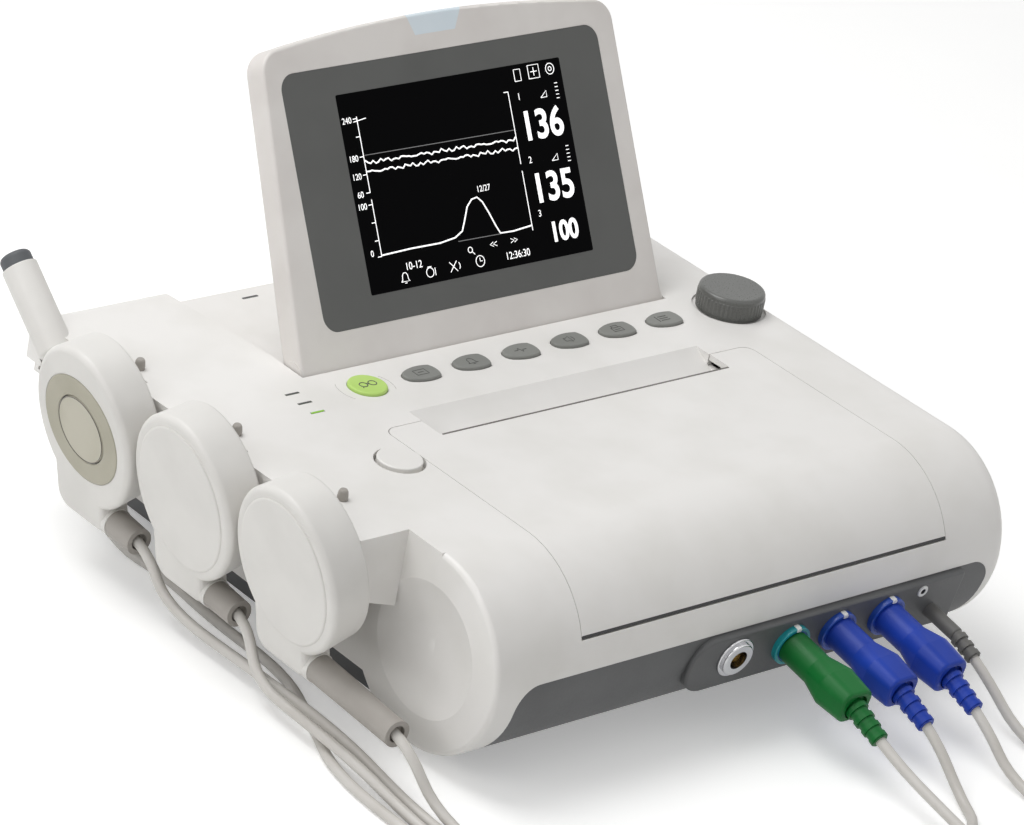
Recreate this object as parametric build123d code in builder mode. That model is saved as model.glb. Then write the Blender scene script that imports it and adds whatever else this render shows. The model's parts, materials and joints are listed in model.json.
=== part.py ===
from build123d import *
import os
from math import acos, asin, cos, radians, sin, sqrt, tan

os.makedirs("parts", exist_ok=True)

# Fetal monitor: a low white case with a rounded front roll, a folding screen, a paper drawer door,
# a ledge on the left that parks three transducers and an event marker, and their cables.
# Millimetres, +Z up, -Y is the user's side. The origin lies under the middle of the object, on the table.

# Case
body_width = 320.0
roll_radius = 47.7
foot_height = 4.6
wall = 3.0
roll_to_hinge = 156.7
hinge_to_rear = 101.0
side_lift = 18.0
end_round = 10.0
rear_round = 13.0
base_rear_round = 8.0
ring_round = 2.5
left_band = 14.0
right_band = 12.0
base_split = 54.5
base_corner = 12.0
seam = 0.1
fit_gap = 0.3

# Transducer ledge and transducers
ledge_depth = 27.0
ledge_front = 134.0
ledge_height = 32.0
ledge_root_height = 38.0
flare = 2.2
probe_tilt = 13.7
probe_first = 23.8
probe_pitch = 70.73
probe_drop = 18.8
probe_half_width = 34.9
probe_half_height = 41.7
probe_taper = 1.4
probe_thick = 21.3
probe_edge = 3.0
probe_gap = 1.8
tab_thick = 14.5
tab_low = 53.0
stem_radius = 4.6
stem_depth = 4.0
button_radius = 9.5
button_pocket = 10.0
button_thick = 3.6
button_pocket_depth = 9.5
sleeve_radius = 6.8
sleeve_tip_radius = 6.4
sleeve_length = 58.0
sleeve_short = 18.0
sleeve_sway = 3.35
cord_radius = 2.5
cord_grip = 8.0

# Event marker
marker_place = (-36.2, 85.2)
marker_rise = 39.0
marker_sway = 2.3
marker_radius = 8.5
marker_below = 15.0
marker_shaft_top = 30.0
marker_cap = 6.5

# Connector panel on the front roll
panel_tilt = 10.0
panel_reach = 48.5
socket_radius = 10.0
socket_stand = 2.6
socket_drop = 12.4

# Overall extents, from the sizes above
tilt = radians(probe_tilt)
sway = radians(flare)
probe_normal = Vector(-cos(tilt), 0, -sin(tilt))
probe_along = Vector(0, -1, 0)
probe_up = probe_normal.cross(probe_along)


def probe_face(run):
    """Middle of a transducer's face, from the left wall, the ledge's front end and the deck."""
    edge = Vector(-ledge_depth - run * tan(sway), run, 0)
    return edge - probe_up * probe_drop + probe_normal * (probe_gap + probe_thick)


probe_runs = [probe_first + probe_pitch * i for i in range(3)]
flat_half = probe_half_height - probe_edge
left_reach = flat_half * sin(tilt) + probe_edge - probe_face(probe_runs[2]).X
overall_width = body_width + left_reach
body_right = overall_width / 2
body_left = body_right - body_width

marker_dir = Vector(
    -sin(radians(marker_sway)) * cos(radians(marker_rise)),
    cos(radians(marker_sway)) * cos(radians(marker_rise)),
    sin(radians(marker_rise)),
)
marker_reach = marker_place[1] + (marker_shaft_top + marker_cap) * marker_dir.Y
marker_reach += (marker_radius - 1.0) * sqrt(1 - marker_dir.Y**2)
lean_panel = radians(panel_tilt)
front_reach = panel_reach + socket_stand * cos(lean_panel) + socket_radius * sin(lean_panel)
overall_depth = front_reach + roll_to_hinge + marker_reach
hinge_y = overall_depth / 2 - marker_reach
roll_y = hinge_y - roll_to_hinge
rear_y = hinge_y + hinge_to_rear
deck_z = foot_height + 2 * roll_radius
roll_z = foot_height + roll_radius
side_bottom = foot_height + side_lift

# Screen
screen_width = 225.0
screen_from_left = 159.0
screen_height = 154.0
screen_corner_height = 145.8
screen_thick = 14.5
screen_lean = 30.5
screen_corner = 11.0
frame_depth = 5.0
hinge_gap = 0.8
hinge_pin_radius = 3.0
hinge_pin_length = 18.0
lens_size = (195.2, 119.8)
lens_corner = 8.0
lens_middle = 75.9
lens_offset = 3.3
lens_depth = 1.6
glass_size = (138.2, 93.5)
glass_offset = 5.0
run_gap = 0.05

# Keys and lights
key_row = 20.3
key_first = 100.5
key_pitch = 30.6
key_size = (20.0, 12.4)
key_lift = 1.6
key_travel = 1.2
start_from_left = 68.9
start_radius = 9.4
knob_from_left = 296.8
knob_radius = 16.4
knob_height = 11.5
knob_travel_gap = 0.6
knob_well = 18.4
knob_well_depth = 1.2
light_from_left = 31.0
light_size = (8.0, 1.6)
light_rows = (12.6, 21.9, 31.2)

# Paper door, chute and latch
door_left = 49.2
door_right = 275.8
door_gap = 0.35
door_back = 56.5
chute_left = 71.7
chute_right = 251.0
chute_back = 47.0
slot_row = 69.7
chute_deep = 9.0
door_turn = 66.9
knuckle_radius = wall / 2
pivot_radius = 1.1
pivot_length = 5.0
latch_from_left = 38.0
latch_row = 81.5
latch_radius = 10.6
latch_lift = 1.4
latch_travel = 2.0

# Printer
roller_radius = 6.0
roller_length = 154.0
roller_axle = 2.0
paper_width = 152.0

marker_origin = Vector(body_left + marker_place[0], hinge_y + marker_place[1], deck_z)
ledge_origin = Vector(body_left, hinge_y - ledge_front, deck_z)
screen_x = body_left + screen_from_left
glass_x = screen_x + glass_offset


def save(builder, name):
    """Name a finished piece and write it."""
    builder.part.label = name
    export_step(builder.part, f"parts/{name}.step")


def slab(x0, x1, y0, y1, z0, z1, mode=Mode.ADD):
    """A box given by its limits."""
    with Locations(((x0 + x1) / 2, (y0 + y1) / 2, (z0 + z1) / 2)):
        Box(x1 - x0, y1 - y0, z1 - z0, mode=mode)


def rod(x, y, z, radius, length, mode=Mode.ADD):
    """A cylinder along X, given by its middle."""
    with Locations((x, y, z)):
        Cylinder(radius, length, rotation=(0, 90, 0), mode=mode)


# Case forms. The outside and the cavity are one shape, the cavity set in by the wall.


def roll_form(inset):
    with BuildPart() as roll:
        with BuildSketch(Plane.YZ.offset(body_left + inset)):
            with Locations((roll_y, roll_z)):
                Circle(roll_radius - inset)
        extrude(amount=body_width - 2 * inset)
        fillet(roll.edges().group_by(Axis.X)[-1], end_round - inset)
        if inset < ring_round:
            fillet(roll.edges().group_by(Axis.X)[0], ring_round - inset)
    return roll.part


def block_form(inset):
    low = side_bottom + inset
    high = deck_z - inset
    back = rear_y - inset
    with BuildPart() as block:
        with BuildSketch(Plane.YZ.offset(body_left + inset)) as outline:
            with Locations(((roll_y + back) / 2, (low + high) / 2)):
                Rectangle(back - roll_y, high - low)
            fillet(outline.vertices().group_by(Axis.X)[-1].sort_by(Axis.Y)[-1], rear_round - inset)
        extrude(amount=body_width - 2 * inset)
        end = block.faces().sort_by(Axis.X)[-1]
        chain = end.edges().filter_by(
            lambda e: e.center().Z > low + inset + 0.5 and e.center().Y > roll_y + 0.5
        )
        fillet(chain, end_round - inset)
    return block.part


def base_window(shrink, top):
    """The opening between the two end bands that the dark base tray fills."""
    left = body_left + left_band + shrink
    right = body_right - right_band - shrink
    with BuildPart() as window:
        with BuildSketch(Plane.XZ.offset(-rear_y - 5)) as outline:
            with Locations(((left + right) / 2, top / 2 - 5)):
                Rectangle(right - left, top + 10)
            fillet(outline.vertices().group_by(Axis.Y)[-1], base_corner)
        extrude(amount=rear_y - roll_y + 2 * roll_radius)
    return window.part


def base_form(inset):
    low = foot_height + inset
    back = rear_y - inset
    with BuildPart() as base:
        with BuildSketch(Plane.YZ.offset(body_left)):
            with Locations((roll_y, roll_z)):
                Circle(roll_radius - inset)
        extrude(amount=body_width)
        with BuildSketch(Plane.YZ.offset(body_left)) as outline:
            with Locations(((roll_y + back) / 2, (low + deck_z) / 2)):
                Rectangle(back - roll_y, deck_z - low)
            fillet(outline.vertices().group_by(Axis.X)[-1].sort_by(Axis.Y)[0], base_rear_round - inset)
        extrude(amount=body_width)
    return base.part


# Screen hinge. The foot of the screen is a half round barrel whose front touches the face plane
# where that plane meets the deck.
lean = radians(screen_lean)
screen_up = Vector(0, sin(lean), cos(lean))
screen_back_dir = Vector(0, cos(lean), -sin(lean))
barrel_radius = screen_thick / 2
hinge_axis = Vector(0, hinge_y, deck_z) + screen_back_dir * barrel_radius
pocket_front = hinge_axis.Y - barrel_radius - hinge_gap
pocket_floor = hinge_axis.Z - barrel_radius - hinge_gap
screen_left = screen_x - screen_width / 2
screen_right = screen_x + screen_width / 2
face_plane = Plane(
    origin=(screen_x, hinge_y, deck_z), x_dir=(1, 0, 0), z_dir=(0, -cos(lean), sin(lean))
)

# Door pivot, inside the thickness of the case at the front end of the door.
door_angle = radians(door_turn)
pivot_ring = roll_radius - knuckle_radius
pivot_y = roll_y - pivot_ring * sin(door_angle)
pivot_z = roll_z + pivot_ring * cos(door_angle)
door_x0 = body_left + door_left
door_x1 = body_left + door_right
door_back_y = hinge_y - door_back
slot_y = hinge_y - slot_row
chute_x0 = body_left + chute_left
chute_x1 = body_left + chute_right


def door_outline(grow):
    """Plan view of the door: two ears beside the paper slot. The sketch lies on the deck."""
    with BuildSketch(Plane.XY.offset(deck_z - 2 * roll_radius)) as plan:
        front = roll_y - roll_radius - 2
        with Locations(((door_x0 + door_x1) / 2, (front + door_back_y + grow) / 2)):
            Rectangle(door_x1 - door_x0 + 2 * grow, door_back_y + grow - front)
        fillet(plan.vertices().group_by(Axis.Y)[-1], 6.0)
        with Locations(((chute_x0 + chute_x1) / 2, (slot_y + grow + door_back_y + 5) / 2)):
            Rectangle(
                chute_x1 - chute_x0 - 2 * grow + 2 * door_gap,
                door_back_y + 5 - slot_y - grow,
                mode=Mode.SUBTRACT,
            )
    return plan.sketch


def door_shell(outer, inner, end_angle):
    """Side view of the door's skin, from the back of the deck round the roll to its end angle."""
    mid = end_angle / 2

    def on_roll(radius, angle):
        return (roll_y - radius * sin(angle), roll_z + radius * cos(angle))

    with BuildSketch(Plane.YZ.offset(door_x0 - 1)) as side:
        with BuildLine():
            Line((door_back_y + 2, roll_z + outer), (roll_y, roll_z + outer))
            ThreePointArc((roll_y, roll_z + outer), on_roll(outer, mid), on_roll(outer, end_angle))
            Line(on_roll(outer, end_angle), on_roll(inner, end_angle))
            ThreePointArc(on_roll(inner, end_angle), on_roll(inner, mid), (roll_y, roll_z + inner))
            Line((roll_y, roll_z + inner), (door_back_y + 2, roll_z + inner))
            Line((door_back_y + 2, roll_z + inner), (door_back_y + 2, roll_z + outer))
        make_face()
    return side.sketch


# Places on the connector panel, from the left wall, and along the panel upward.
panel_x0 = body_left + 117.0
panel_x1 = body_left + 289.0
panel_point = Vector(0, roll_y - panel_reach, roll_z - socket_drop)
panel_normal = Vector(0, -cos(lean_panel), -sin(lean_panel))


def panel_plane(from_left, up=0.0):
    spot = Vector(body_left + from_left, 0, 0) + panel_point + Vector(0, -sin(lean_panel), cos(lean_panel)) * up
    return Plane(origin=spot, x_dir=(1, 0, 0), z_dir=panel_normal)


jack_place = panel_plane(144.0, 1.0)
toco_place = panel_plane(179.0, -0.5)
doppler_places = [panel_plane(208.5), panel_plane(240.0, 0.5)]
marker_socket_place = panel_plane(272.0, -5.0)
reset_place = panel_plane(261.5, 8.5)
socket_bore = 7.6
jack_radius = 10.3
plug_pin = 6.0
panel_low = 16.0
panel_high = 13.5
shell_bore = socket_bore + 0.6


def key_outline(size, grow=0.0):
    """A rounded lens: the left end bulges more than the right."""
    half = size[0] / 2 + grow
    rise = size[1] / 2 + grow
    with BuildSketch() as shape:
        with BuildLine():
            ThreePointArc((half - 1.5, rise - 1), (0, rise), (3 - half, rise - 2))
            ThreePointArc((3 - half, rise - 2), (-half, 0), (3 - half, 2 - rise))
            ThreePointArc((3 - half, 2 - rise), (0, -rise), (half - 1.5, 1 - rise))
            ThreePointArc((half - 1.5, 1 - rise), (half, 0), (half - 1.5, rise - 1))
        make_face()
        fillet(shape.vertices(), 1.6)
    return shape.sketch


key_spots = [(body_left + key_first + key_pitch * i, hinge_y - key_row) for i in range(6)]
start_spot = (body_left + start_from_left, hinge_y - key_row)
knob_spot = (body_left + knob_from_left, hinge_y - key_row - 0.4)
latch_spot = (body_left + latch_from_left, hinge_y - latch_row)
light_spots = [(body_left + light_from_left, hinge_y - row) for row in light_rows]
flange_thick = 1.4
flange_grow = 1.5
mat_thick = 1.0
mat_gap = 0.3
deck_under = deck_z - wall
flange_top = deck_under - fit_gap
flange_low = flange_top - flange_thick
mat_top = flange_low - key_travel - mat_gap
board_thick = 1.6
board_top = mat_top - mat_thick
board_posts = (start_spot[0] - 20.0, key_spots[5][0] + 19.0)
latch_scoop = 4.0
latch_guide = 9.0

dish_radius = 32.5
dish_depth = 6.0
dish_thick = 8.5

# Screws that clamp the case, in posts moulded under the deck.
post_radius = 5.0
screw_radius = 2.0
screw_head = 4.0
post_spots = [
    (body_left + 26.0, rear_y - 16.0),
    (body_right - 24.0, rear_y - 16.0),
    (body_left + 26.0, roll_y + 6.0),
    (body_right - 24.0, roll_y + 6.0),
]
floor_z = foot_height + wall

outer_roll = roll_form(0)
inner_roll = roll_form(wall)
outer_block = block_form(0)
inner_block = block_form(wall)
door_cut = door_outline(door_gap)
cut_knuckle = asin((knuckle_radius + door_gap) / pivot_ring)

door_side_cut = door_shell(roll_radius + 3, roll_radius - wall - 3, door_angle + cut_knuckle)
with BuildPart() as door_hole:
    extrude(door_cut, amount=2 * roll_radius + 4, dir=(0, 0, 1))
with BuildPart() as door_skin_zone:
    extrude(door_side_cut, amount=door_x1 - door_x0 + 4, dir=(1, 0, 0))
with BuildPart() as door_opening:
    add(door_hole.part)
    add(door_skin_zone.part, mode=Mode.INTERSECT)


def chute_side(deep):
    """Side view of the paper chute: a hollow that falls from the deck to under the door's edge."""
    with BuildSketch(Plane.YZ.offset(chute_x0)) as side:
        with BuildLine():
            Line((slot_y, deck_z + 1), (hinge_y - chute_back, deck_z + 1))
            Line((hinge_y - chute_back, deck_z + 1), (hinge_y - chute_back, deck_z + deep))
            ThreePointArc(
                (hinge_y - chute_back, deck_z + deep),
                (slot_y + 10.5, deck_z - chute_deep * 0.72 + deep),
                (slot_y, deck_z - chute_deep + deep),
            )
            Line((slot_y, deck_z - chute_deep + deep), (slot_y, deck_z + 1))
        make_face()
    return side.sketch


with BuildPart() as key_hole:
    extrude(key_outline(key_size, fit_gap), amount=4 * wall)

with BuildPart() as case_limit:
    add(outer_roll)
    add(outer_block)

chute_bed = 2.5
with BuildPart() as upper_housing:
    add(outer_roll)
    add(outer_block)
    add(inner_roll, mode=Mode.SUBTRACT)
    add(inner_block, mode=Mode.SUBTRACT)
    add(base_window(0, base_split), mode=Mode.SUBTRACT)
    # Tray that the folded screen lies in
    tray_left = screen_left - hinge_gap - wall - 10
    tray_right = screen_right + hinge_gap + wall
    with BuildSketch(Plane.XY.offset(pocket_floor - wall)):
        with Locations(((tray_left + tray_right) / 2, (pocket_front - wall + rear_y) / 2)):
            Rectangle(tray_right - tray_left, rear_y - pocket_front + wall)
    extrude(amount=deck_z - pocket_floor)
    # Bed under the paper chute
    with BuildSketch(Plane.YZ.offset(chute_x0 - wall)):
        with BuildLine():
            Polyline(
                (hinge_y - chute_back + 1, deck_z - 1),
                (hinge_y - chute_back + 1, deck_z - 4),
                (slot_y + 10.5, deck_z - chute_deep - chute_bed),
                (slot_y + door_gap + 0.3, deck_z - chute_deep - chute_bed),
                (slot_y + door_gap + 0.3, deck_z - 1),
                close=True,
            )
        make_face()
    extrude(amount=chute_x1 - chute_x0 + 2 * wall)
    # Guide for the latch, posts for the keypad board
    with Locations((*latch_spot, deck_z - latch_guide / 2 - 1)):
        Cylinder(latch_radius + 3.5, latch_guide - 2)
    with Locations(*[(x, start_spot[1], (deck_under + board_top) / 2) for x in board_posts]):
        Cylinder(3.0, deck_under - board_top)
    # Posts for the case screws and bosses for the screen and door pivots
    with BuildSketch(Plane.XY.offset(floor_z + fit_gap)):
        with Locations(*post_spots):
            Circle(post_radius)
    extrude(amount=deck_z - wall - floor_z)
    for x in (door_x0 - pivot_length - 1, door_x1 + door_gap):
        with BuildSketch(Plane.YZ.offset(x)):
            with Locations((pivot_y + 1.5, pivot_z - 0.6)):
                Circle(3.4)
        extrude(amount=pivot_length + 1 - door_gap)
    add(case_limit.part, mode=Mode.INTERSECT)
    # Pocket for the screen, open at the rear
    with BuildSketch(Plane.XY.offset(pocket_floor)):
        with Locations((screen_x, (pocket_front + rear_y + 10) / 2)):
            Rectangle(screen_width + 2 * hinge_gap, rear_y + 10 - pocket_front)
    extrude(amount=deck_z, mode=Mode.SUBTRACT)
    # Soft step that widens toward the rear on the pocket's left side
    step_x = screen_left - hinge_gap + 0.2
    for depth, reach in ((hinge_y + 24, 0.6), (rear_y + 8, 9.5)):
        with BuildSketch(Plane.XZ.offset(-depth)):
            with BuildLine():
                Line((step_x, pocket_floor), (step_x, deck_z + 1))
                Line((step_x, deck_z + 1), (step_x - reach, deck_z + 1))
                Line((step_x - reach, deck_z + 1), (step_x - reach, deck_z))
                ThreePointArc(
                    (step_x - reach, deck_z),
                    (step_x - reach * 0.42, deck_z - 5),
                    (step_x, pocket_floor),
                )
            make_face()
    loft(mode=Mode.SUBTRACT)
    # Door opening, paper chute and the slot under the door's edge
    add(door_opening.part, mode=Mode.SUBTRACT)
    extrude(chute_side(0), amount=chute_x1 - chute_x0, dir=(1, 0, 0), mode=Mode.SUBTRACT)
    # Openings for keys, knob, lights and latch
    with Locations(*[(x, y, deck_z - 2 * wall) for x, y in key_spots]):
        add(key_hole.part, mode=Mode.SUBTRACT)
    with Locations((*start_spot, deck_z)):
        Cylinder(start_radius + fit_gap, 4 * wall, mode=Mode.SUBTRACT)
    with Locations((*knob_spot, deck_z)):
        Cylinder(knob_well, 2 * knob_well_depth, mode=Mode.SUBTRACT)
        Cylinder(4.0, 4 * wall, mode=Mode.SUBTRACT)
    with Locations(*[(x, y, deck_z) for x, y in light_spots]):
        Box(light_size[0], light_size[1], 4 * wall, mode=Mode.SUBTRACT)
    with Locations((*latch_spot, deck_z)):
        Cylinder(latch_radius + fit_gap, 40, mode=Mode.SUBTRACT)
    with Locations((latch_spot[0] - 0.9, latch_spot[1] - 1.1, deck_z)):
        Cylinder(latch_radius + 1.5, 2 * latch_scoop, mode=Mode.SUBTRACT)
    # Bores for the screen's hinge pins and the door's pivots
    for x in (screen_left - hinge_pin_length / 2, screen_right + hinge_pin_length / 2 - 2):
        rod(x, hinge_axis.Y, hinge_axis.Z, hinge_pin_radius, hinge_pin_length, Mode.SUBTRACT)
    for x in (door_x0 - pivot_length / 2, door_x1 + pivot_length / 2):
        rod(x, pivot_y, pivot_z, pivot_radius + run_gap, pivot_length + 1, Mode.SUBTRACT)
    with Locations(*[(x, y, 0) for x, y in post_spots]):
        Cylinder(screw_radius, 2 * (floor_z + 16), mode=Mode.SUBTRACT)
    # Seats of the dished caps in the roll's ends
    for x in (body_left, body_right):
        rod(x, roll_y, roll_z, dish_radius, 8, Mode.SUBTRACT)
save(upper_housing, "upper_housing")

# Lower housing: a dark tray that fills the window between the end bands.
tray_x0 = body_left + left_band + seam
tray_x1 = body_right - right_band - seam
frame_floor_top = deck_z - 45.0
frame_floor_low = frame_floor_top - 2.0
frame_posts = [(x, y) for x in (body_left + 74.0, body_left + 222.0) for y in (roll_y - 11.0, hinge_y - 74.0)]
main_board_low = floor_z + 12.0
main_board_spots = [(body_left + x, hinge_y + y) for x in (100.0, 258.0) for y in (-54.0, 16.0)]
inlet_x = body_left + 234.0
inlet_z = deck_z - 74.0
switch_x = body_left + 194.0
switch_y = rear_y - 3.6
switch_z = deck_z - 74.0
switch_half = (5.7, 8.5)
switch_pin = 1.0
foot_radius = 8.0
foot_spots = [(x, y) for x in (body_left + 39.0, body_right - 37.0) for y in (roll_y + 19.0, rear_y - 21.0)]

with BuildPart() as tray_outer:
    add(base_form(0))
    add(base_window(seam, base_split - seam), mode=Mode.INTERSECT)
with BuildPart() as tray_cavity:
    add(base_form(wall))
    slab(body_left - 5, tray_x0 + wall, roll_y - 60, rear_y + 5, 0, deck_z + 5, Mode.SUBTRACT)
    slab(tray_x1 - wall, body_right + 5, roll_y - 60, rear_y + 5, 0, deck_z + 5, Mode.SUBTRACT)
with BuildPart() as lower_housing:
    add(tray_outer.part)
    add(tray_cavity.part, mode=Mode.SUBTRACT)
    with Locations(*[(x, y, (floor_z + frame_floor_low) / 2 - 0.1) for x, y in frame_posts]):
        Cylinder(4.0, frame_floor_low - floor_z + 0.2)
    with Locations(*[(x, y, (floor_z + main_board_low) / 2) for x, y in main_board_spots]):
        Cylinder(3.0, main_board_low - floor_z)
    for side in (-1, 1):
        edge = switch_x + side * (switch_half[0] + fit_gap + 1.5)
        slab(edge - 1.5, edge + 1.5, switch_y - 3.5, rear_y - 1, switch_z - 4, switch_z + 4)
    with Locations(*[(x, y, floor_z) for x, y in post_spots]):
        Cylinder(screw_radius, 4 * wall, mode=Mode.SUBTRACT)
    with Locations(*[(x, y, foot_height) for x, y in post_spots]):
        Cylinder(screw_head + 0.2, 3.2, mode=Mode.SUBTRACT)
    with BuildSketch(Plane(origin=panel_point + panel_normal * 20, x_dir=(1, 0, 0), z_dir=panel_normal)):
        with Locations(((panel_x0 + panel_x1) / 2, -1.5)):
            Rectangle(panel_x1 - panel_x0 - 12, 21)
    extrude(amount=-34, mode=Mode.SUBTRACT)
    slab(inlet_x - 13.5, inlet_x + 13.5, rear_y - 8, rear_y + 8, inlet_z - 10, inlet_z + 10, Mode.SUBTRACT)
    slab(
        switch_x - switch_half[0] - fit_gap,
        switch_x + switch_half[0] + fit_gap,
        rear_y - 8,
        rear_y + 8,
        switch_z - switch_half[1] - 0.6,
        switch_z + switch_half[1] + 0.6,
        Mode.SUBTRACT,
    )
    rod(switch_x, switch_y, switch_z, switch_pin + run_gap, 2 * switch_half[0] + 7.6, Mode.SUBTRACT)
save(lower_housing, "lower_housing")

# Round dished caps in both ends of the front roll
dish_sphere = (dish_radius - 0.9) ** 2 / (2 * dish_depth) + dish_depth / 2
with BuildPart() as side_dishes:
    rod(body_left + dish_thick / 2, roll_y, roll_z, dish_radius, dish_thick)
    with Locations((body_left - dish_sphere + dish_depth, roll_y, roll_z)):
        Sphere(dish_sphere, rotation=(0, 90, 0), mode=Mode.SUBTRACT)
    mirror(about=Plane.YZ.offset((body_left + body_right) / 2))
save(side_dishes, "side_dishes")

# Ledge on the left wall: three slots open at the top for the transducers' belt buttons, and a clip
# for the event marker at its rear end.
ledge_long = ledge_front + hinge_to_rear
face_origins = [ledge_origin + probe_face(run) for run in probe_runs]
probe_planes = [Plane(origin=p, x_dir=probe_along, z_dir=probe_normal) for p in face_origins]
ledge_wall = 3.0


def ledge_form(inset, drop):
    """The ledge as a loft between its front and rear ends, set in by a wall."""
    slope = tan(tilt)
    with BuildPart() as form:
        for run in (inset, ledge_long - inset):
            out = ledge_depth + run * tan(sway) - inset
            low = ledge_height - inset + drop
            with BuildSketch(Plane.XZ.offset(-(hinge_y - ledge_front + run))):
                with BuildLine():
                    Polyline(
                        (body_left - inset, deck_z - inset),
                        (body_left - out, deck_z - inset),
                        (body_left - out + low * slope, deck_z - inset - low),
                        (body_left - inset, deck_z - ledge_root_height + inset - drop),
                        close=True,
                    )
                make_face()
        loft(ruled=True)
    return form.part


clip_front = marker_origin.Y - 8.0
with BuildPart() as slot_blocks:
    for plane in probe_planes:
        slab(body_left - 60, body_left, plane.origin.Y - 13, plane.origin.Y + 13, deck_z - 60, deck_z)
with BuildPart() as ledge_ribs:
    add(ledge_form(0, 0))
    add(slot_blocks.part, mode=Mode.INTERSECT)
with BuildPart() as clip_bore:
    with BuildSketch(Plane(origin=marker_origin - marker_dir * 40, z_dir=marker_dir)):
        Circle(marker_radius)
    extrude(amount=90)
with BuildPart() as transducer_holder:
    add(ledge_form(0, 0))
    rear_top = transducer_holder.edges().filter_by(Axis.X).sort_by(lambda e: e.center().Y + e.center().Z)[-1]
    fillet(rear_top, rear_round)
    add(ledge_form(ledge_wall, 8), mode=Mode.SUBTRACT)
    add(ledge_ribs.part)
    slab(marker_origin.X - 6.0, marker_origin.X + 14, clip_front, rear_y, deck_z - 16, deck_z - 2)
    for plane in probe_planes:
        back = plane.offset(-probe_thick)
        with BuildSketch(back.offset(2)):
            Circle(stem_radius)
            with Locations((0, 20)):
                Rectangle(2 * stem_radius, 40)
        extrude(amount=-2 - stem_depth, mode=Mode.SUBTRACT)
        with BuildSketch(back.offset(-stem_depth)):
            Circle(button_pocket)
            with Locations((0, 20)):
                Rectangle(2 * button_pocket, 40)
        extrude(amount=stem_depth - button_pocket_depth, mode=Mode.SUBTRACT)
    add(clip_bore.part, mode=Mode.SUBTRACT)
    # The outer rear corner stays open beside the event marker
    slab(
        body_left - 60,
        marker_origin.X + 10,
        marker_origin.Y + 3,
        rear_y + 1,
        deck_z - 60,
        deck_z + 1,
        Mode.SUBTRACT,
    )
save(transducer_holder, "transducer_holder")

# Transducers: oval discs with a tab at the foot for the cable, and a belt button on the back.
sleeve_dir = Vector(-sin(radians(sleeve_sway)), -cos(radians(sleeve_sway)), 0)
sleeve_from = Vector(18.5, -10.7, -45.35)
collar_length = 2.5


def probe_tab(plane):
    """The tab below a transducer's face that carries its cable."""
    with BuildPart() as tab:
        with BuildSketch(plane.offset(-tab_thick)) as outline:
            with Locations((-6.5, -tab_low / 2 - 10)):
                Rectangle(35, tab_low - 20)
            fillet(outline.vertices().group_by(Axis.Y)[0].sort_by(Axis.X)[0], 9)
            fillet(outline.vertices().group_by(Axis.Y)[0].sort_by(Axis.X)[-1], 5)
        extrude(amount=tab_thick)
        front = tab.faces().sort_by(lambda f: (f.center() - plane.origin).dot(plane.z_dir))[-1]
        fillet(front.edges(), 2.5)
    return tab.part


def probe_solid(plane):
    tab = probe_tab(plane)
    with BuildPart() as probe:
        with BuildSketch(plane):
            Ellipse(probe_half_width, probe_half_height)
        with BuildSketch(plane.offset(-probe_thick)):
            Ellipse(probe_half_width - probe_taper, probe_half_height - probe_taper)
        loft()
        fillet(probe.faces().sort_by(lambda f: (f.center() - plane.origin).dot(plane.z_dir))[-1].edges(), probe_edge)
        rear = probe.faces().sort_by(lambda f: (f.center() - plane.origin).dot(plane.z_dir))[0]
        fillet(rear.edges(), 2.0)
        add(tab)
        with BuildSketch(plane.offset(-probe_thick + 0.5)):
            Circle(stem_radius)
        extrude(amount=-stem_depth - 1.5)
        with BuildSketch(plane.offset(-probe_thick - stem_depth - 1)):
            Circle(button_radius)
        extrude(amount=-button_thick)
        fillet(probe.edges().sort_by(lambda e: (e.center() - plane.origin).dot(plane.z_dir))[0], 1.2)
        start = plane.origin + sleeve_from
        with BuildSketch(Plane(origin=start - sleeve_dir * 6, z_dir=sleeve_dir)):
            Circle(sleeve_radius + 0.4)
        extrude(amount=6 + collar_length)
    return probe.part


toco_plane = probe_planes[2]
plunger_radius = 16.4
plunger_travel = 1.0
plunger_stem = 4.0
toco_form = probe_solid(toco_plane)
with BuildPart() as toco_transducer:
    add(toco_form)
    with BuildSketch(toco_plane):
        Circle(27.2)
        Circle(26.8, mode=Mode.SUBTRACT)
    extrude(amount=-0.5, mode=Mode.SUBTRACT)
    with BuildSketch(toco_plane):
        Circle(plunger_radius + 0.5)
    extrude(amount=-3.5 - plunger_travel - 0.5, mode=Mode.SUBTRACT)
    with BuildSketch(toco_plane):
        Circle(plunger_stem + run_gap)
    extrude(amount=-14, mode=Mode.SUBTRACT)
save(toco_transducer, "toco_transducer")
with BuildPart() as toco_plunger:
    with BuildSketch(toco_plane.offset(-3.2)):
        Circle(plunger_radius)
    extrude(amount=3.7)
    fillet(toco_plunger.edges().sort_by(lambda e: (e.center() - toco_plane.origin).dot(toco_plane.z_dir))[-1], 0.8)
    with BuildSketch(toco_plane.offset(-12)):
        Circle(plunger_stem)
    extrude(amount=9)
save(toco_plunger, "toco_plunger")
doppler_forms = [probe_solid(probe_planes[1]), probe_solid(probe_planes[0])]
with BuildPart() as doppler_transducer_1:
    add(doppler_forms[0])
save(doppler_transducer_1, "doppler_transducer_1")
with BuildPart() as doppler_transducer_2:
    add(doppler_forms[1])
save(doppler_transducer_2, "doppler_transducer_2")

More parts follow.
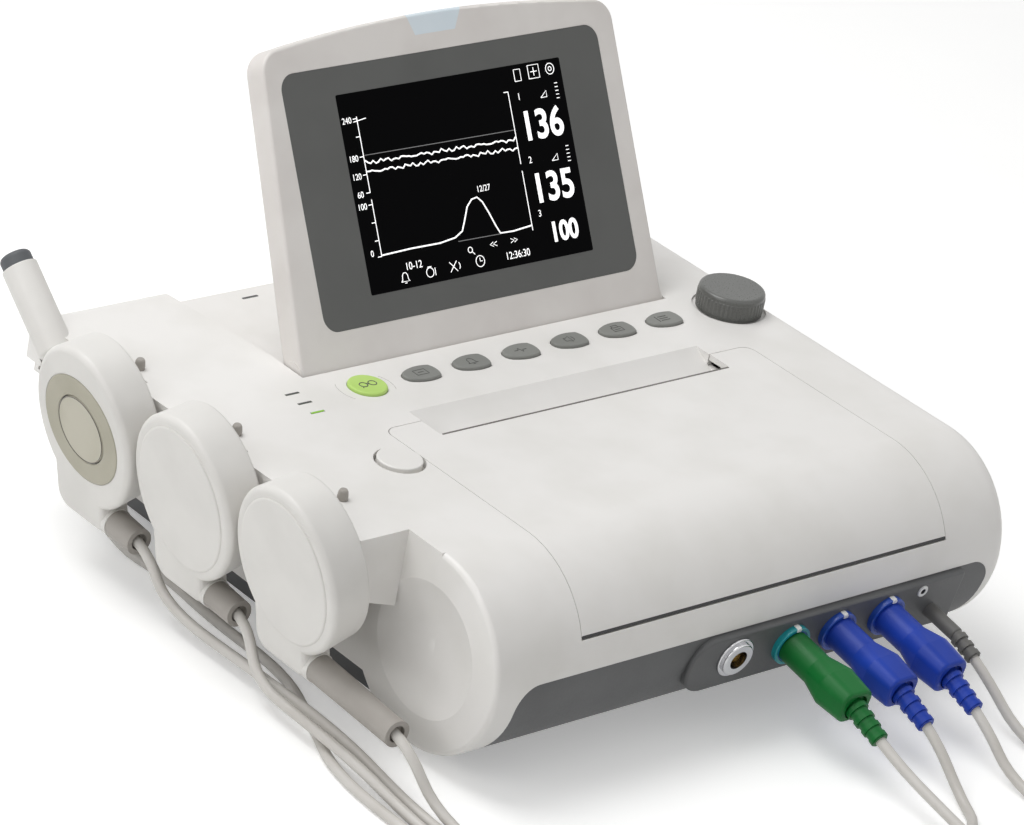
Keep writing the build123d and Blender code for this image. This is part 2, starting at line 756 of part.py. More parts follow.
# Cable sleeves: a tapered grey sleeve on each transducer, its open end gripping the cable
sleeve_ends = []
with BuildPart() as cable_sleeves:
    for plane, length in zip(probe_planes, (sleeve_length, sleeve_short, sleeve_short)):
        start = plane.origin + sleeve_from + sleeve_dir * collar_length
        tip = start + sleeve_dir * length
        sleeve_ends.append(tip)
        with BuildSketch(Plane(origin=start, z_dir=sleeve_dir)):
            Circle(sleeve_radius)
        with BuildSketch(Plane(origin=tip, z_dir=sleeve_dir)):
            Circle(sleeve_tip_radius)
        loft()
    for tip in sleeve_ends:
        with BuildSketch(Plane(origin=tip, z_dir=sleeve_dir)):
            Circle(cord_radius)
        extrude(amount=-cord_grip, mode=Mode.SUBTRACT)
        with BuildSketch(Plane(origin=tip, z_dir=sleeve_dir)):
            Circle(cord_radius + 1.5)
        extrude(amount=-2.5, mode=Mode.SUBTRACT)
save(cable_sleeves, "cable_sleeves")

# Event marker: a stick with a push button on its upper end
marker_low = marker_origin - marker_dir * marker_below
marker_top = marker_origin + marker_dir * marker_shaft_top
marker_press = 1.5
marker_button_radius = marker_radius - 1.0
with BuildPart() as marker_body:
    with BuildSketch(Plane(origin=marker_low, z_dir=marker_dir)):
        Circle(marker_radius)
    extrude(amount=marker_below + marker_shaft_top)
    fillet(marker_body.edges().sort_by(lambda e: (e.center() - marker_low).dot(marker_dir))[0], 2.5)
    fillet(marker_body.edges().sort_by(lambda e: (e.center() - marker_low).dot(marker_dir))[-1], 0.6)
    with BuildSketch(Plane(origin=marker_top, z_dir=marker_dir)):
        Circle(marker_button_radius + run_gap)
    extrude(amount=-7 - marker_press, mode=Mode.SUBTRACT)
    with BuildSketch(Plane(origin=marker_low, z_dir=marker_dir)):
        Circle(cord_radius)
    extrude(amount=cord_grip, mode=Mode.SUBTRACT)
save(marker_body, "marker_body")
with BuildPart() as marker_button:
    with BuildSketch(Plane(origin=marker_top - marker_dir * 6.0, z_dir=marker_dir)):
        Circle(marker_button_radius)
    extrude(amount=6.0 + marker_cap)
    fillet(marker_button.edges().sort_by(lambda e: (e.center() - marker_top).dot(marker_dir))[-1], 2.5)
save(marker_button, "marker_button")

# Screen: a leaning panel on a half round foot, split into a front frame and a rear cover.
panel_left = -screen_width / 2
panel_right = screen_width / 2
panel_lean_in = 10.1
lens_centre = (lens_offset, lens_middle)
glass_centre = (glass_offset, lens_middle)
module_size = (160.0, 108.0)
module_thick = 6.0
light_top = (-16.3, 22.2)
light_foot = (-10.8, 13.7)
light_low = 144.0


with BuildPart() as screen_body:
    with BuildSketch(face_plane.offset(-screen_thick)):
        with BuildLine():
            Line((panel_left, 0), (panel_right, 0))
            Line((panel_right, 0), (panel_right + 0.4, screen_corner_height))
            ThreePointArc(
                (panel_right + 0.4, screen_corner_height),
                (-12, screen_height),
                (panel_left + panel_lean_in, screen_corner_height + 0.8),
            )
            Line((panel_left + panel_lean_in, screen_corner_height + 0.8), (panel_left, 0))
        make_face()
    extrude(amount=screen_thick)
    corners = [
        e
        for e in screen_body.edges().filter_by(lambda e: abs(e.tangent_at(0).dot(face_plane.z_dir)) > 0.99)
        if (e.center() - face_plane.origin).dot(face_plane.y_dir) > screen_corner_height / 2
    ]
    fillet(corners, screen_corner)
    front_face = screen_body.faces().sort_by(lambda f: (f.center() - face_plane.origin).dot(face_plane.z_dir))[-1]
    fillet(front_face.edges().filter_by(lambda e: e.center().Z > deck_z + 2), 1.6)
    back_face = screen_body.faces().sort_by(lambda f: (f.center() - face_plane.origin).dot(face_plane.z_dir))[0]
    fillet(back_face.edges().filter_by(lambda e: (e.center() - face_plane.origin).dot(face_plane.y_dir) > 2), 3.5)
    rod(screen_x, hinge_axis.Y, hinge_axis.Z, barrel_radius, screen_width)

split_plane = face_plane.offset(-frame_depth)
with BuildPart() as front_half:
    with BuildSketch(split_plane):
        with Locations((0, 60)):
            Rectangle(400, 400)
    extrude(amount=40)
with BuildPart() as light_zone:
    with BuildSketch(face_plane.offset(-frame_depth + 1)):
        with BuildLine():
            Polyline(
                (light_foot[0], light_low),
                (light_foot[1], light_low),
                (light_top[1], screen_height + 5),
                (light_top[0], screen_height + 5),
                close=True,
            )
        make_face()
    extrude(amount=20)
with BuildPart() as alarm_light:
    add(screen_body.part)
    add(light_zone.part, mode=Mode.INTERSECT)
save(alarm_light, "alarm_light")
with BuildPart() as screen_frame:
    add(screen_body.part)
    add(front_half.part, mode=Mode.INTERSECT)
    add(light_zone.part, mode=Mode.SUBTRACT)
    with BuildSketch(face_plane.offset(-lens_depth)):
        with Locations(lens_centre):
            RectangleRounded(lens_size[0] + 0.2, lens_size[1] + 0.2, lens_corner + 0.1)
    extrude(amount=10, mode=Mode.SUBTRACT)
    with BuildSketch(face_plane.offset(-frame_depth - 1)):
        with Locations(glass_centre):
            Rectangle(module_size[0] - 6 + 0.4, module_size[1] - 6 + 0.4)
    extrude(amount=10, mode=Mode.SUBTRACT)
    for side in (-1, 1):
        x = screen_x + side * (screen_width / 2 - 4.25)
        rod(x, hinge_axis.Y, hinge_axis.Z, hinge_pin_radius + run_gap, 9.5, Mode.SUBTRACT)
save(screen_frame, "screen_frame")
with BuildPart() as screen_lens:
    with BuildSketch(face_plane.offset(-lens_depth)):
        with Locations(lens_centre):
            RectangleRounded(lens_size[0], lens_size[1], lens_corner)
    extrude(amount=lens_depth - 0.1)
save(screen_lens, "screen_lens")
with BuildPart() as display_module:
    with BuildSketch(face_plane.offset(-lens_depth)):
        with Locations(glass_centre):
            Rectangle(module_size[0] - 6, module_size[1] - 6)
    extrude(amount=-(frame_depth - lens_depth) - 1)
    with BuildSketch(split_plane):
        with Locations(glass_centre):
            Rectangle(*module_size)
    extrude(amount=-module_thick + 2)
save(display_module, "display_module")
with BuildPart() as screen_cover:
    add(screen_body.part)
    add(front_half.part, mode=Mode.SUBTRACT)
    with BuildSketch(face_plane.offset(-screen_thick + 2.2)):
        with Locations((3, 74)):
            RectangleRounded(204, 128, 6)
    extrude(amount=screen_thick - frame_depth - 2.2, mode=Mode.SUBTRACT)
    for side in (-1, 1):
        x = screen_x + side * (screen_width / 2 - 4.25)
        rod(x, hinge_axis.Y, hinge_axis.Z, hinge_pin_radius + run_gap, 9.5, Mode.SUBTRACT)
save(screen_cover, "screen_cover")
with BuildPart() as hinge_pins:
    for x in (screen_left - 0.5, screen_right - 0.5 + 1.0):
        rod(x, hinge_axis.Y, hinge_axis.Z, hinge_pin_radius, hinge_pin_length - 1)
save(hinge_pins, "hinge_pins")

# Keys, mat, board, lights and knob
with BuildPart() as start_key:
    with Locations((*start_spot, flange_low + (deck_z + key_lift - flange_low) / 2)):
        Cylinder(start_radius, deck_z + key_lift - flange_low)
    fillet(start_key.edges().sort_by(Axis.Z)[-1], 0.9)
    with Locations((*start_spot, flange_low + flange_thick / 2)):
        Cylinder(start_radius + flange_grow, flange_thick)
save(start_key, "start_key")


def key_solid(spot):
    with BuildPart() as key:
        extrude(key_outline(key_size), amount=deck_z + key_lift - flange_low)
        fillet(key.faces().sort_by(Axis.Z)[-1].edges(), 0.8)
        extrude(key_outline(key_size, flange_grow), amount=flange_thick)
    return key.part.moved(Location((spot[0], spot[1], flange_low)))


key_forms = [key_solid(spot) for spot in key_spots]
with BuildPart() as key_1:
    add(key_forms[0])
save(key_1, "key_1")
with BuildPart() as key_2:
    add(key_forms[1])
save(key_2, "key_2")
with BuildPart() as key_3:
    add(key_forms[2])
save(key_3, "key_3")
with BuildPart() as key_4:
    add(key_forms[3])
save(key_4, "key_4")
with BuildPart() as key_5:
    add(key_forms[4])
save(key_5, "key_5")
with BuildPart() as key_6:
    add(key_forms[5])
save(key_6, "key_6")

row_y = start_spot[1]
with BuildPart() as key_mat:
    slab(start_spot[0] - 14, key_spots[5][0] + 13, row_y - 10.5, row_y + 10.5, board_top, board_top + mat_thick)
    fillet(key_mat.edges().filter_by(Axis.Z), 3)
save(key_mat, "key_mat")
with BuildPart() as keypad_board:
    slab(board_posts[0] - 4, board_posts[1] + 4, row_y - 12, row_y + 12, board_top - board_thick, board_top)
save(keypad_board, "keypad_board")
with BuildPart() as status_lights:
    for x, y in light_spots:
        slab(x - light_size[0] / 2, x + light_size[0] / 2, y - light_size[1] / 2, y + light_size[1] / 2, deck_z - 6, deck_z)
save(status_lights, "status_lights")
knob_low = deck_z - knob_well_depth + knob_travel_gap
shaft_radius = 3.0
with BuildPart() as encoder:
    slab(knob_spot[0] - 7, knob_spot[0] + 7, knob_spot[1] - 6.5, knob_spot[1] + 6.5, deck_under - 7, deck_under)
    with Locations((*knob_spot, deck_under + 0.7)):
        Cylinder(4.0, 1.8)
    with Locations((*knob_spot, (deck_under + deck_z + 7.5) / 2)):
        Cylinder(shaft_radius, deck_z + 7.5 - deck_under)
save(encoder, "encoder")
with BuildPart() as control_knob:
    with Locations((*knob_spot, knob_low + knob_height / 2)):
        Cylinder(knob_radius, knob_height)
    fillet(control_knob.edges().sort_by(Axis.Z)[-1], 1.8)
    with Locations((*knob_spot, knob_low)):
        Cylinder(shaft_radius + run_gap, 2 * (deck_z + 8.0 - knob_low), mode=Mode.SUBTRACT)
        Cylinder(knob_radius - 2.5, 2 * (knob_height - 5), mode=Mode.SUBTRACT)
    with Locations((*knob_spot, knob_low + (knob_height - 4) / 2)):
        Cylinder(5.5, knob_height - 4)
    with Locations((*knob_spot, knob_low)):
        Cylinder(shaft_radius + run_gap, 2 * (deck_z + 8.0 - knob_low), mode=Mode.SUBTRACT)
save(control_knob, "control_knob")

# Paper door and latch
door_flat = door_outline(0)
door_side = door_shell(roll_radius, roll_radius - wall, door_angle)
with BuildPart() as door_block:
    extrude(door_flat, amount=2 * roll_radius + 4, dir=(0, 0, 1))
with BuildPart() as door_skin:
    extrude(door_side, amount=door_x1 - door_x0 + 4, dir=(1, 0, 0))
with BuildPart() as paper_door:
    add(door_skin.part)
    add(door_block.part, mode=Mode.INTERSECT)
    middle = (door_x0 + door_x1) / 2
    rod(middle, pivot_y, pivot_z, knuckle_radius, door_x1 - door_x0)
    rod(middle, pivot_y, pivot_z, pivot_radius, door_x1 - door_x0 + 2 * pivot_length - 0.6)
save(paper_door, "paper_door")
latch_top = deck_z + 0.8
latch_flange_low = deck_z - latch_guide - fit_gap - 1.4
with BuildPart() as latch_button:
    with Locations((*latch_spot, (latch_top + latch_flange_low) / 2)):
        Cylinder(latch_radius, latch_top - latch_flange_low)
    fillet(latch_button.edges().sort_by(Axis.Z)[-1], 0.8)
    with Locations((*latch_spot, latch_flange_low + 0.7)):
        Cylinder(latch_radius + 2.0, 1.4)
save(latch_button, "latch_button")
spring_low = latch_flange_low - 9.0
with BuildPart() as latch_spring:
    with BuildLine() as coil_line:
        Helix(pitch=2.6, height=7.4, radius=6.0, center=(latch_spot[0], latch_spot[1], latch_flange_low - 7.9))
    with BuildSketch(Plane(origin=coil_line.line @ 0, z_dir=coil_line.line % 0)):
        Circle(0.5)
    sweep(is_frenet=True)
save(latch_spring, "latch_spring")

# Printer: frame on four posts, paper roller on an axle, print head, motor and paper pack
roller_y = hinge_y - 79.0
roller_z = deck_z - 20.0
frame_left = body_left + 66.0
frame_right = body_left + 232.0
cheek = 3.0
roller_x = body_left + 149.0
with BuildPart() as printer_frame:
    slab(frame_left, frame_right, hinge_y - 192, hinge_y - 66, frame_floor_low, frame_floor_top)
    slab(frame_left, frame_left + cheek, hinge_y - 92, hinge_y - 68, frame_floor_top, deck_z - 14)
    slab(frame_right - cheek, frame_right, hinge_y - 92, hinge_y - 68, frame_floor_top, deck_z - 14)
    for x in (frame_left + cheek / 2, frame_right - cheek / 2):
        rod(x, roller_y, roller_z, roller_axle + run_gap, cheek + 2, Mode.SUBTRACT)
save(printer_frame, "printer_frame")
with BuildPart() as platen_roller:
    rod(roller_x, roller_y, roller_z, roller_radius, roller_length)
    rod((frame_left + frame_right + 10) / 2, roller_y, roller_z, roller_axle, frame_right + 10 - frame_left)
save(platen_roller, "platen_roller")
with BuildPart() as print_head:
    slab(roller_x - 74, roller_x + 74, hinge_y - 72.5, hinge_y - 68.5, frame_floor_top, deck_z - 13.5)
    slab(roller_x - 74, roller_x + 74, hinge_y - 72.5, hinge_y - 66.5, frame_floor_top, frame_floor_top + 3)
save(print_head, "print_head")
with BuildPart() as feed_motor:
    rod(frame_right + 10, roller_y, roller_z, 10.5, 20)
    rod(frame_right + 5, roller_y, roller_z, roller_axle + run_gap, 11, Mode.SUBTRACT)
save(feed_motor, "feed_motor")
with BuildPart() as paper_pack:
    slab(roller_x - 75, roller_x + 75, hinge_y - 189, hinge_y - 98, frame_floor_top, frame_floor_top + 17)
save(paper_pack, "paper_pack")

# Electronics and power
with BuildPart() as main_board:
    slab(body_left + 94, body_left + 264, hinge_y - 60, hinge_y + 22, main_board_low, main_board_low + board_thick)
    slab(body_left + 120, body_left + 150, hinge_y - 40, hinge_y - 10, main_board_low + board_thick, main_board_low + 4)
    slab(body_left + 180, body_left + 204, hinge_y - 30, hinge_y - 6, main_board_low + board_thick, main_board_low + 4)
    slab(body_left + 222, body_left + 252, hinge_y - 50, hinge_y - 42, main_board_low + board_thick, main_board_low + 10)
save(main_board, "main_board")
with BuildPart() as power_supply:
    slab(body_left + 169, body_left + 285, hinge_y + 30, hinge_y + 78, floor_z, floor_z + 28)
save(power_supply, "power_supply")
with BuildPart() as battery_pack:
    slab(body_left + 21, body_left + 85, hinge_y - 60, hinge_y + 58, floor_z, floor_z + 22)
    fillet(battery_pack.edges().filter_by(Axis.Y), 3)
save(battery_pack, "battery_pack")
with BuildPart() as speaker:
    with Locations((body_left + 124, hinge_y + 54, floor_z + 3)):
        Cylinder(25, 6)
    with Locations((body_left + 124, hinge_y + 54, floor_z + 12)):
        Cylinder(15, 12)
save(speaker, "speaker")
with BuildPart() as mains_inlet:
    slab(inlet_x - 13.5, inlet_x + 13.5, rear_y - 17, rear_y + 1, inlet_z - 10, inlet_z + 10)
    slab(inlet_x - 17, inlet_x + 17, rear_y, rear_y + 1.6, inlet_z - 13, inlet_z + 13)
    slab(inlet_x - 11, inlet_x + 11, rear_y - 14, rear_y + 3, inlet_z - 7.5, inlet_z + 7.5, Mode.SUBTRACT)
    for x, z in ((-6, -2), (6, -2), (0, 2.5)):
        slab(inlet_x + x - 1, inlet_x + x + 1, rear_y - 15, rear_y - 2, inlet_z + z - 2, inlet_z + z + 2)
save(mains_inlet, "mains_inlet")
rocker = radians(7.0)
with BuildPart() as power_switch:
    with BuildSketch(Plane.YZ.offset(switch_x - switch_half[0])):
        with BuildLine():
            Polyline(
                (switch_y + 3.4 + 0.2, switch_z),
                (switch_y + 3.4 + 1.6, switch_z + switch_half[1]),
                (switch_y - 2.0, switch_z + switch_half[1] - 0.5),
                (switch_y - 4.0, switch_z),
                (switch_y - 2.0, switch_z - switch_half[1] + 0.5),
                (switch_y + 3.4 + 1.6, switch_z - switch_half[1]),
                close=True,
            )
        make_face()
    extrude(amount=2 * switch_half[0])
    rod(switch_x, switch_y, switch_z, switch_pin, 2 * switch_half[0] + 6.6)
save(power_switch, "power_switch")

# Connector panel and its sockets
with BuildPart() as connector_panel:
    with BuildSketch(Plane(origin=panel_point, x_dir=(1, 0, 0), z_dir=panel_normal)) as pad:
        with Locations(((panel_x0 + panel_x1) / 2, (panel_high - panel_low) / 2)):
            Rectangle(panel_x1 - panel_x0, panel_high + panel_low)
        fillet(pad.vertices().group_by(Axis.X)[0], 13)
        fillet(pad.vertices().group_by(Axis.X)[-1], 2)
    extrude(amount=-16)
    fillet(connector_panel.faces().sort_by(Axis.Y)[0].edges(), 1.5)
    rod((panel_x0 + panel_x1) / 2, roll_y, roll_z, roll_radius, 300, Mode.SUBTRACT)
    for place, radius in (
        (jack_place, 6.0),
        (toco_place, shell_bore),
        (doppler_places[0], shell_bore),
        (doppler_places[1], shell_bore),
        (marker_socket_place, 3.0),
        (reset_place, 1.3),
    ):
        with BuildSketch(place.offset(5)):
            Circle(radius)
        extrude(amount=-30, mode=Mode.SUBTRACT)
    with BuildSketch(reset_place):
        Circle(3.0)
        Circle(1.3, mode=Mode.SUBTRACT)
    extrude(amount=0.5)
save(connector_panel, "connector_panel")
with BuildPart() as audio_jack:
    with BuildSketch(jack_place):
        Circle(jack_radius)
    extrude(amount=1.4)
    fillet(audio_jack.edges().sort_by(Axis.Y)[0], 0.5)
    with BuildSketch(jack_place.offset(1.4)):
        Circle(jack_radius - 1.8)
    extrude(amount=1.8)
    fillet(audio_jack.edges().sort_by(Axis.Y)[0], 0.7)
    with BuildSketch(jack_place):
        Circle(6.0)
    extrude(amount=-16)
    with BuildSketch(jack_place.offset(4)):
        Circle(4.8)
    extrude(amount=-18, mode=Mode.SUBTRACT)
save(audio_jack, "audio_jack")
with BuildPart() as probe_sockets:
    for place in (toco_place, doppler_places[0], doppler_places[1]):
        with BuildSketch(place):
            Circle(socket_radius)
        extrude(amount=socket_stand)
        with BuildSketch(place):
            Circle(shell_bore)
        extrude(amount=-13)
    fillet(probe_sockets.edges().filter_by(lambda e: e.center().Y < panel_point.Y - socket_stand + 0.5), 0.6)
    for place in (toco_place, doppler_places[0], doppler_places[1]):
        with BuildSketch(place.offset(5)):
            Circle(plug_pin)
        extrude(amount=-15, mode=Mode.SUBTRACT)
save(probe_sockets, "probe_sockets")

# Plugs: a round nose, a squarer grip and a ribbed strain relief that droops
plug_radius = 8.0
plug_grip = 20.0
plug_length = 44.6
relief_length = 21.8
relief_droop = 11.0


def relief_solid(plane, origin_out, length, root, tip, ribs):
    """Ribbed relief on a drooping axis; returns the solid and the point and direction of its end."""
    start = plane.origin + plane.z_dir * origin_out
    axis = plane.z_dir.rotate(Axis.X, relief_droop)
    with BuildPart() as relief:
        with BuildSketch(Plane(origin=start, x_dir=(1, 0, 0), z_dir=axis)):
            Circle(root - 1.1)
        with BuildSketch(Plane(origin=start + axis * length, x_dir=(1, 0, 0), z_dir=axis)):
            Circle(tip - 0.5)
        loft()
        for i in range(ribs):
            share = (i + 0.75) / ribs
            with BuildSketch(Plane(origin=start + axis * (length * share - 1.6), x_dir=(1, 0, 0), z_dir=axis)):
                Circle(root + (tip - root) * share)
            extrude(amount=2.4)
    return relief.part, start + axis * length, axis


def plug_solid(plane):
    """A cable plug seated in its socket, with the point and direction of its end."""
    relief, end, axis = relief_solid(plane, socket_stand + plug_length - 2.5, relief_length, 5.6, 4.3, 4)
    with BuildPart() as plug:
        with BuildSketch(plane.offset(-9)):
            Circle(plug_pin)
        extrude(amount=9 + socket_stand + 1)
        with BuildSketch(plane.offset(socket_stand)):
            Circle(plug_radius)
        extrude(amount=19)
        with BuildSketch(plane.offset(socket_stand + 18)):
            RectangleRounded(2 * plug_radius, 2 * plug_radius, plug_radius - 0.4)
        with BuildSketch(plane.offset(socket_stand + 29)):
            RectangleRounded(plug_grip + 0.6, plug_grip - 1.6, 6.5)
        loft(ruled=True)
        with BuildSketch(plane.offset(socket_stand + 29)):
            RectangleRounded(plug_grip + 0.6, plug_grip - 1.6, 6.5)
        with BuildSketch(plane.offset(socket_stand + plug_length)):
            RectangleRounded(plug_grip - 1.8, plug_grip - 4.0, 5.5)
        loft(ruled=True)
        end_face = plug.faces().sort_by(lambda f: (f.center() - plane.origin).dot(plane.z_dir))[-1]
        fillet(end_face.edges(), 1.8)
        with BuildSketch(plane.offset(socket_stand + plug_length)):
            Circle(6.4)
        extrude(amount=-2.0, mode=Mode.SUBTRACT)
        add(relief)
        with BuildSketch(Plane(origin=end, x_dir=(1, 0, 0), z_dir=axis)):
            Circle(cord_radius)
        extrude(amount=-cord_grip, mode=Mode.SUBTRACT)
    return plug.part, end, axis


toco_plug_form, toco_end, cord_axis = plug_solid(toco_place)
doppler_2_plug_form, doppler_2_end, cord_axis = plug_solid(doppler_places[0])
doppler_1_plug_form, doppler_1_end, cord_axis = plug_solid(doppler_places[1])
marker_relief, marker_plug_end, cord_axis = relief_solid(marker_socket_place, 19.0, 15.0, 4.2, 3.8, 3)
with BuildPart() as toco_plug:
    add(toco_plug_form)
save(toco_plug, "toco_plug")
with BuildPart() as doppler_plug_2:
    add(doppler_2_plug_form)
save(doppler_plug_2, "doppler_plug_2")
with BuildPart() as doppler_plug_1:
    add(doppler_1_plug_form)
save(doppler_plug_1, "doppler_plug_1")
with BuildPart() as marker_plug:
    with BuildSketch(marker_socket_place):
        Circle(3.6)
    extrude(amount=20)
    fillet(marker_plug.edges().sort_by(Axis.Y)[0], 1.0)
    with BuildSketch(marker_socket_place):
        Circle(3.0)
    extrude(amount=-10)
    add(marker_relief)
    with BuildSketch(Plane(origin=marker_plug_end, x_dir=(1, 0, 0), z_dir=cord_axis)):
        Circle(cord_radius)
    extrude(amount=-cord_grip, mode=Mode.SUBTRACT)
save(marker_plug, "marker_plug")

# Feet and screws
with BuildPart() as feet:
    with Locations(*[(x, y, foot_height / 2) for x, y in foot_spots]):
        Cylinder(foot_radius, foot_height)
    fillet(feet.edges().group_by(Axis.Z)[0], 1.0)
save(feet, "feet")
with BuildPart() as housing_screws:
    with Locations(*[(x, y, foot_height + 0.85) for x, y in post_spots]):
        Cylinder(screw_head, 1.5)
    with Locations(*[(x, y, foot_height + 9) for x, y in post_spots]):
        Cylinder(screw_radius, 15)
    with Locations(*[(x, y, foot_height + 0.1) for x, y in post_spots]):
        Cylinder(1.6, 1.4, mode=Mode.SUBTRACT)
save(housing_screws, "housing_screws")

# Cables. Each leaves its sleeve, drops to the table, runs forward to a wound coil and comes back up to
# its plug. Points are measured from the middle of the display, from the screen hinge and from the table.
coil_outer = 39.15
coil_step = 3.15
coil_turns_in = 6
coil_layer = 5.6
coil_stub = 5.0
joint_gap = 0.06
cord_rest = cord_radius + 0.1
bend_reach = 20.0
line_x = glass_x


def at(x, y, z=cord_rest):
    return Vector(line_x + x, hinge_y + y, z)


def lay_line(points):
    """Straight runs with a round bend at every inner point, as wide as the shorter run beside it allows."""
    last = points[0]
    for before, corner, after in zip(points, points[1:], points[2:]):
        into = (corner - before).normalized()
        out = (after - corner).normalized()
        half = acos(max(-1.0, min(1.0, into.dot(out)))) / 2
        if half < 0.01:
            continue
        cut = min(bend_reach * tan(half), 0.45 * min((corner - before).length, (after - corner).length))
        bend = cut / tan(half)
        heart = corner + (out - into).normalized() * (bend / cos(half))
        middle = heart - (out - into).normalized() * bend
        Line(last, corner - into * cut)
        ThreePointArc(corner - into * cut, middle, corner + out * cut)
        last = corner + out * cut
    Line(last, points[-1])


def stretch(points):
    """A free stretch of cable along its points."""
    with BuildPart() as run:
        with BuildLine() as path:
            lay_line(points)
        with BuildSketch(Plane(origin=points[0], z_dir=(points[1] - points[0]).normalized())):
            Circle(cord_radius)
        sweep(path=path.wires()[0])
    return run.part


def coil_nodes(middle, side):
    """Half turn ends of a coil of four layers, wound in, out, in and out again."""
    radii = [coil_outer - coil_step * i for i in range(coil_turns_in + 1)]
    heights = [0] * len(radii)
    for layer in (1, 2, 3):
        inward = layer % 2 == 0
        first = radii[-1]
        for i in range(coil_turns_in):
            radii.append(first - coil_step * i if inward else first + coil_step * i)
            heights.append(layer)
    nodes = []
    for i, (radius, layer) in enumerate(zip(radii, heights)):
        out = side if i % 2 == 0 else -side
        nodes.append(middle + Vector(0, out * radius, layer * coil_layer))
    return nodes


def coil_solid(middle, side):
    nodes = coil_nodes(middle, side)
    ahead = Vector(1, 0, 0)
    with BuildPart() as coil:
        with BuildLine() as path:
            Line(nodes[0] - ahead * coil_stub, nodes[0])
            for i, (here, there) in enumerate(zip(nodes, nodes[1:])):
                across = there - here
                heading = ahead if i % 2 == 0 else -ahead
                ThreePointArc(here, here + across / 2 + heading * (across.length / 2), there)
            Line(nodes[-1], nodes[-1] + ahead * coil_stub)
        with BuildSketch(Plane(origin=nodes[0] - ahead * coil_stub, z_dir=ahead)):
            Circle(cord_radius)
        sweep(path=path.wires()[0])
    return coil.part


# Coil middles. Odd coils are entered on the side toward the case, even ones on the far side.
coil_west = -145.0
coil_east = -48.0
doppler_2_coil_at = at(coil_west, -364.15)
toco_coil_at = at(coil_east, -373.35)
doppler_1_coil_at = at(coil_west, -457.65)
marker_coil_at = at(coil_east, -466.85)


def coil_ends(middle, side):
    nodes = coil_nodes(middle, side)
    return nodes[0] - Vector(coil_stub + joint_gap, 0, 0), nodes[-1] + Vector(coil_stub + joint_gap, 0, 0)


doppler_2_in, doppler_2_out = coil_ends(doppler_2_coil_at, 1)
toco_in, toco_out = coil_ends(toco_coil_at, -1)
doppler_1_in, doppler_1_out = coil_ends(doppler_1_coil_at, 1)
marker_in, marker_out = coil_ends(marker_coil_at, -1)
low = cord_rest

front_tip, middle_tip, rear_tip = sleeve_ends
grip = sleeve_dir * cord_grip
beyond = sleeve_dir * 6.8
doppler_2_lead = [
    front_tip - grip,
    front_tip + sleeve_dir * 7.5,
    at(-188.5, -208),
    at(-187, -265),
    at(-188.5, doppler_2_in.Y - hinge_y),
    doppler_2_in,
]
toco_lead = [
    rear_tip - grip,
    rear_tip + beyond,
    at(-197, -24, 9.0),
    at(-194, -88, 9.3),
    at(-192, -148, 9.0),
    at(-195, -200),
    at(-193.5, -265),
    at(-196, -335),
    at(-196, toco_in.Y - hinge_y),
    at(-140, toco_in.Y - hinge_y),
    at(-96, toco_in.Y - hinge_y),
    toco_in,
]
doppler_1_lead = [
    middle_tip - grip,
    middle_tip + beyond,
    at(-200.5, -94, 10.5),
    at(-201, -130, 10.0),
    at(-201, -168, 9.0),
    at(-201.5, -212),
    at(-200, -275),
    at(-202.5, -345),
    at(-202.5, doppler_1_in.Y - hinge_y),
    doppler_1_in,
]
marker_lead = [
    marker_low + marker_dir * cord_grip,
    marker_low - marker_dir * 7.0,
    at(-197, 69, 50.0),
    at(-176, 44),
    at(-171, 10),
    at(-175.5, -30),
    at(-174.5, -85),
    at(-190, -123),
    at(-207.5, -160),
    at(-208, -220),
    at(-206.5, -285),
    at(-209, -350),
    at(-209, -415),
    at(-209, marker_in.Y - hinge_y),
    at(-150, marker_in.Y - hinge_y),
    at(-96, marker_in.Y - hinge_y),
    marker_in,
]
doppler_2_tail = [
    doppler_2_out,
    doppler_2_out + Vector(18, 0, 0),
    at(-72, doppler_2_out.Y - hinge_y),
    at(-8, doppler_2_out.Y - hinge_y),
    at(32, -322),
    at(44, -298),
    doppler_2_end + cord_axis * 7,
    doppler_2_end - cord_axis * cord_grip,
]
toco_tail = [
    toco_out,
    toco_out + Vector(18, 0, 0),
    at(12, toco_out.Y - hinge_y + 16),
    at(15, -358, 4.6),
    at(15, -324, 10.0),
    at(15, -292, 16.5),
    toco_end + cord_axis * 7,
    toco_end - cord_axis * cord_grip,
]
doppler_1_tail = [
    doppler_1_out,
    doppler_1_out + Vector(18, 0, 0),
    at(-72, doppler_1_out.Y - hinge_y),
    at(-5, doppler_1_out.Y - hinge_y),
    at(52, -408),
    at(75, -350),
    at(76, -300),
    doppler_1_end + cord_axis * 7,
    doppler_1_end - cord_axis * cord_grip,
]
marker_tail = [
    marker_out,
    marker_out + Vector(18, 0, 0),
    at(22, marker_out.Y - hinge_y + 3),
    at(74, -468),
    at(104, -405),
    at(108, -335),
    at(108, -275),
    marker_plug_end + cord_axis * 7,
    marker_plug_end - cord_axis * cord_grip,
]

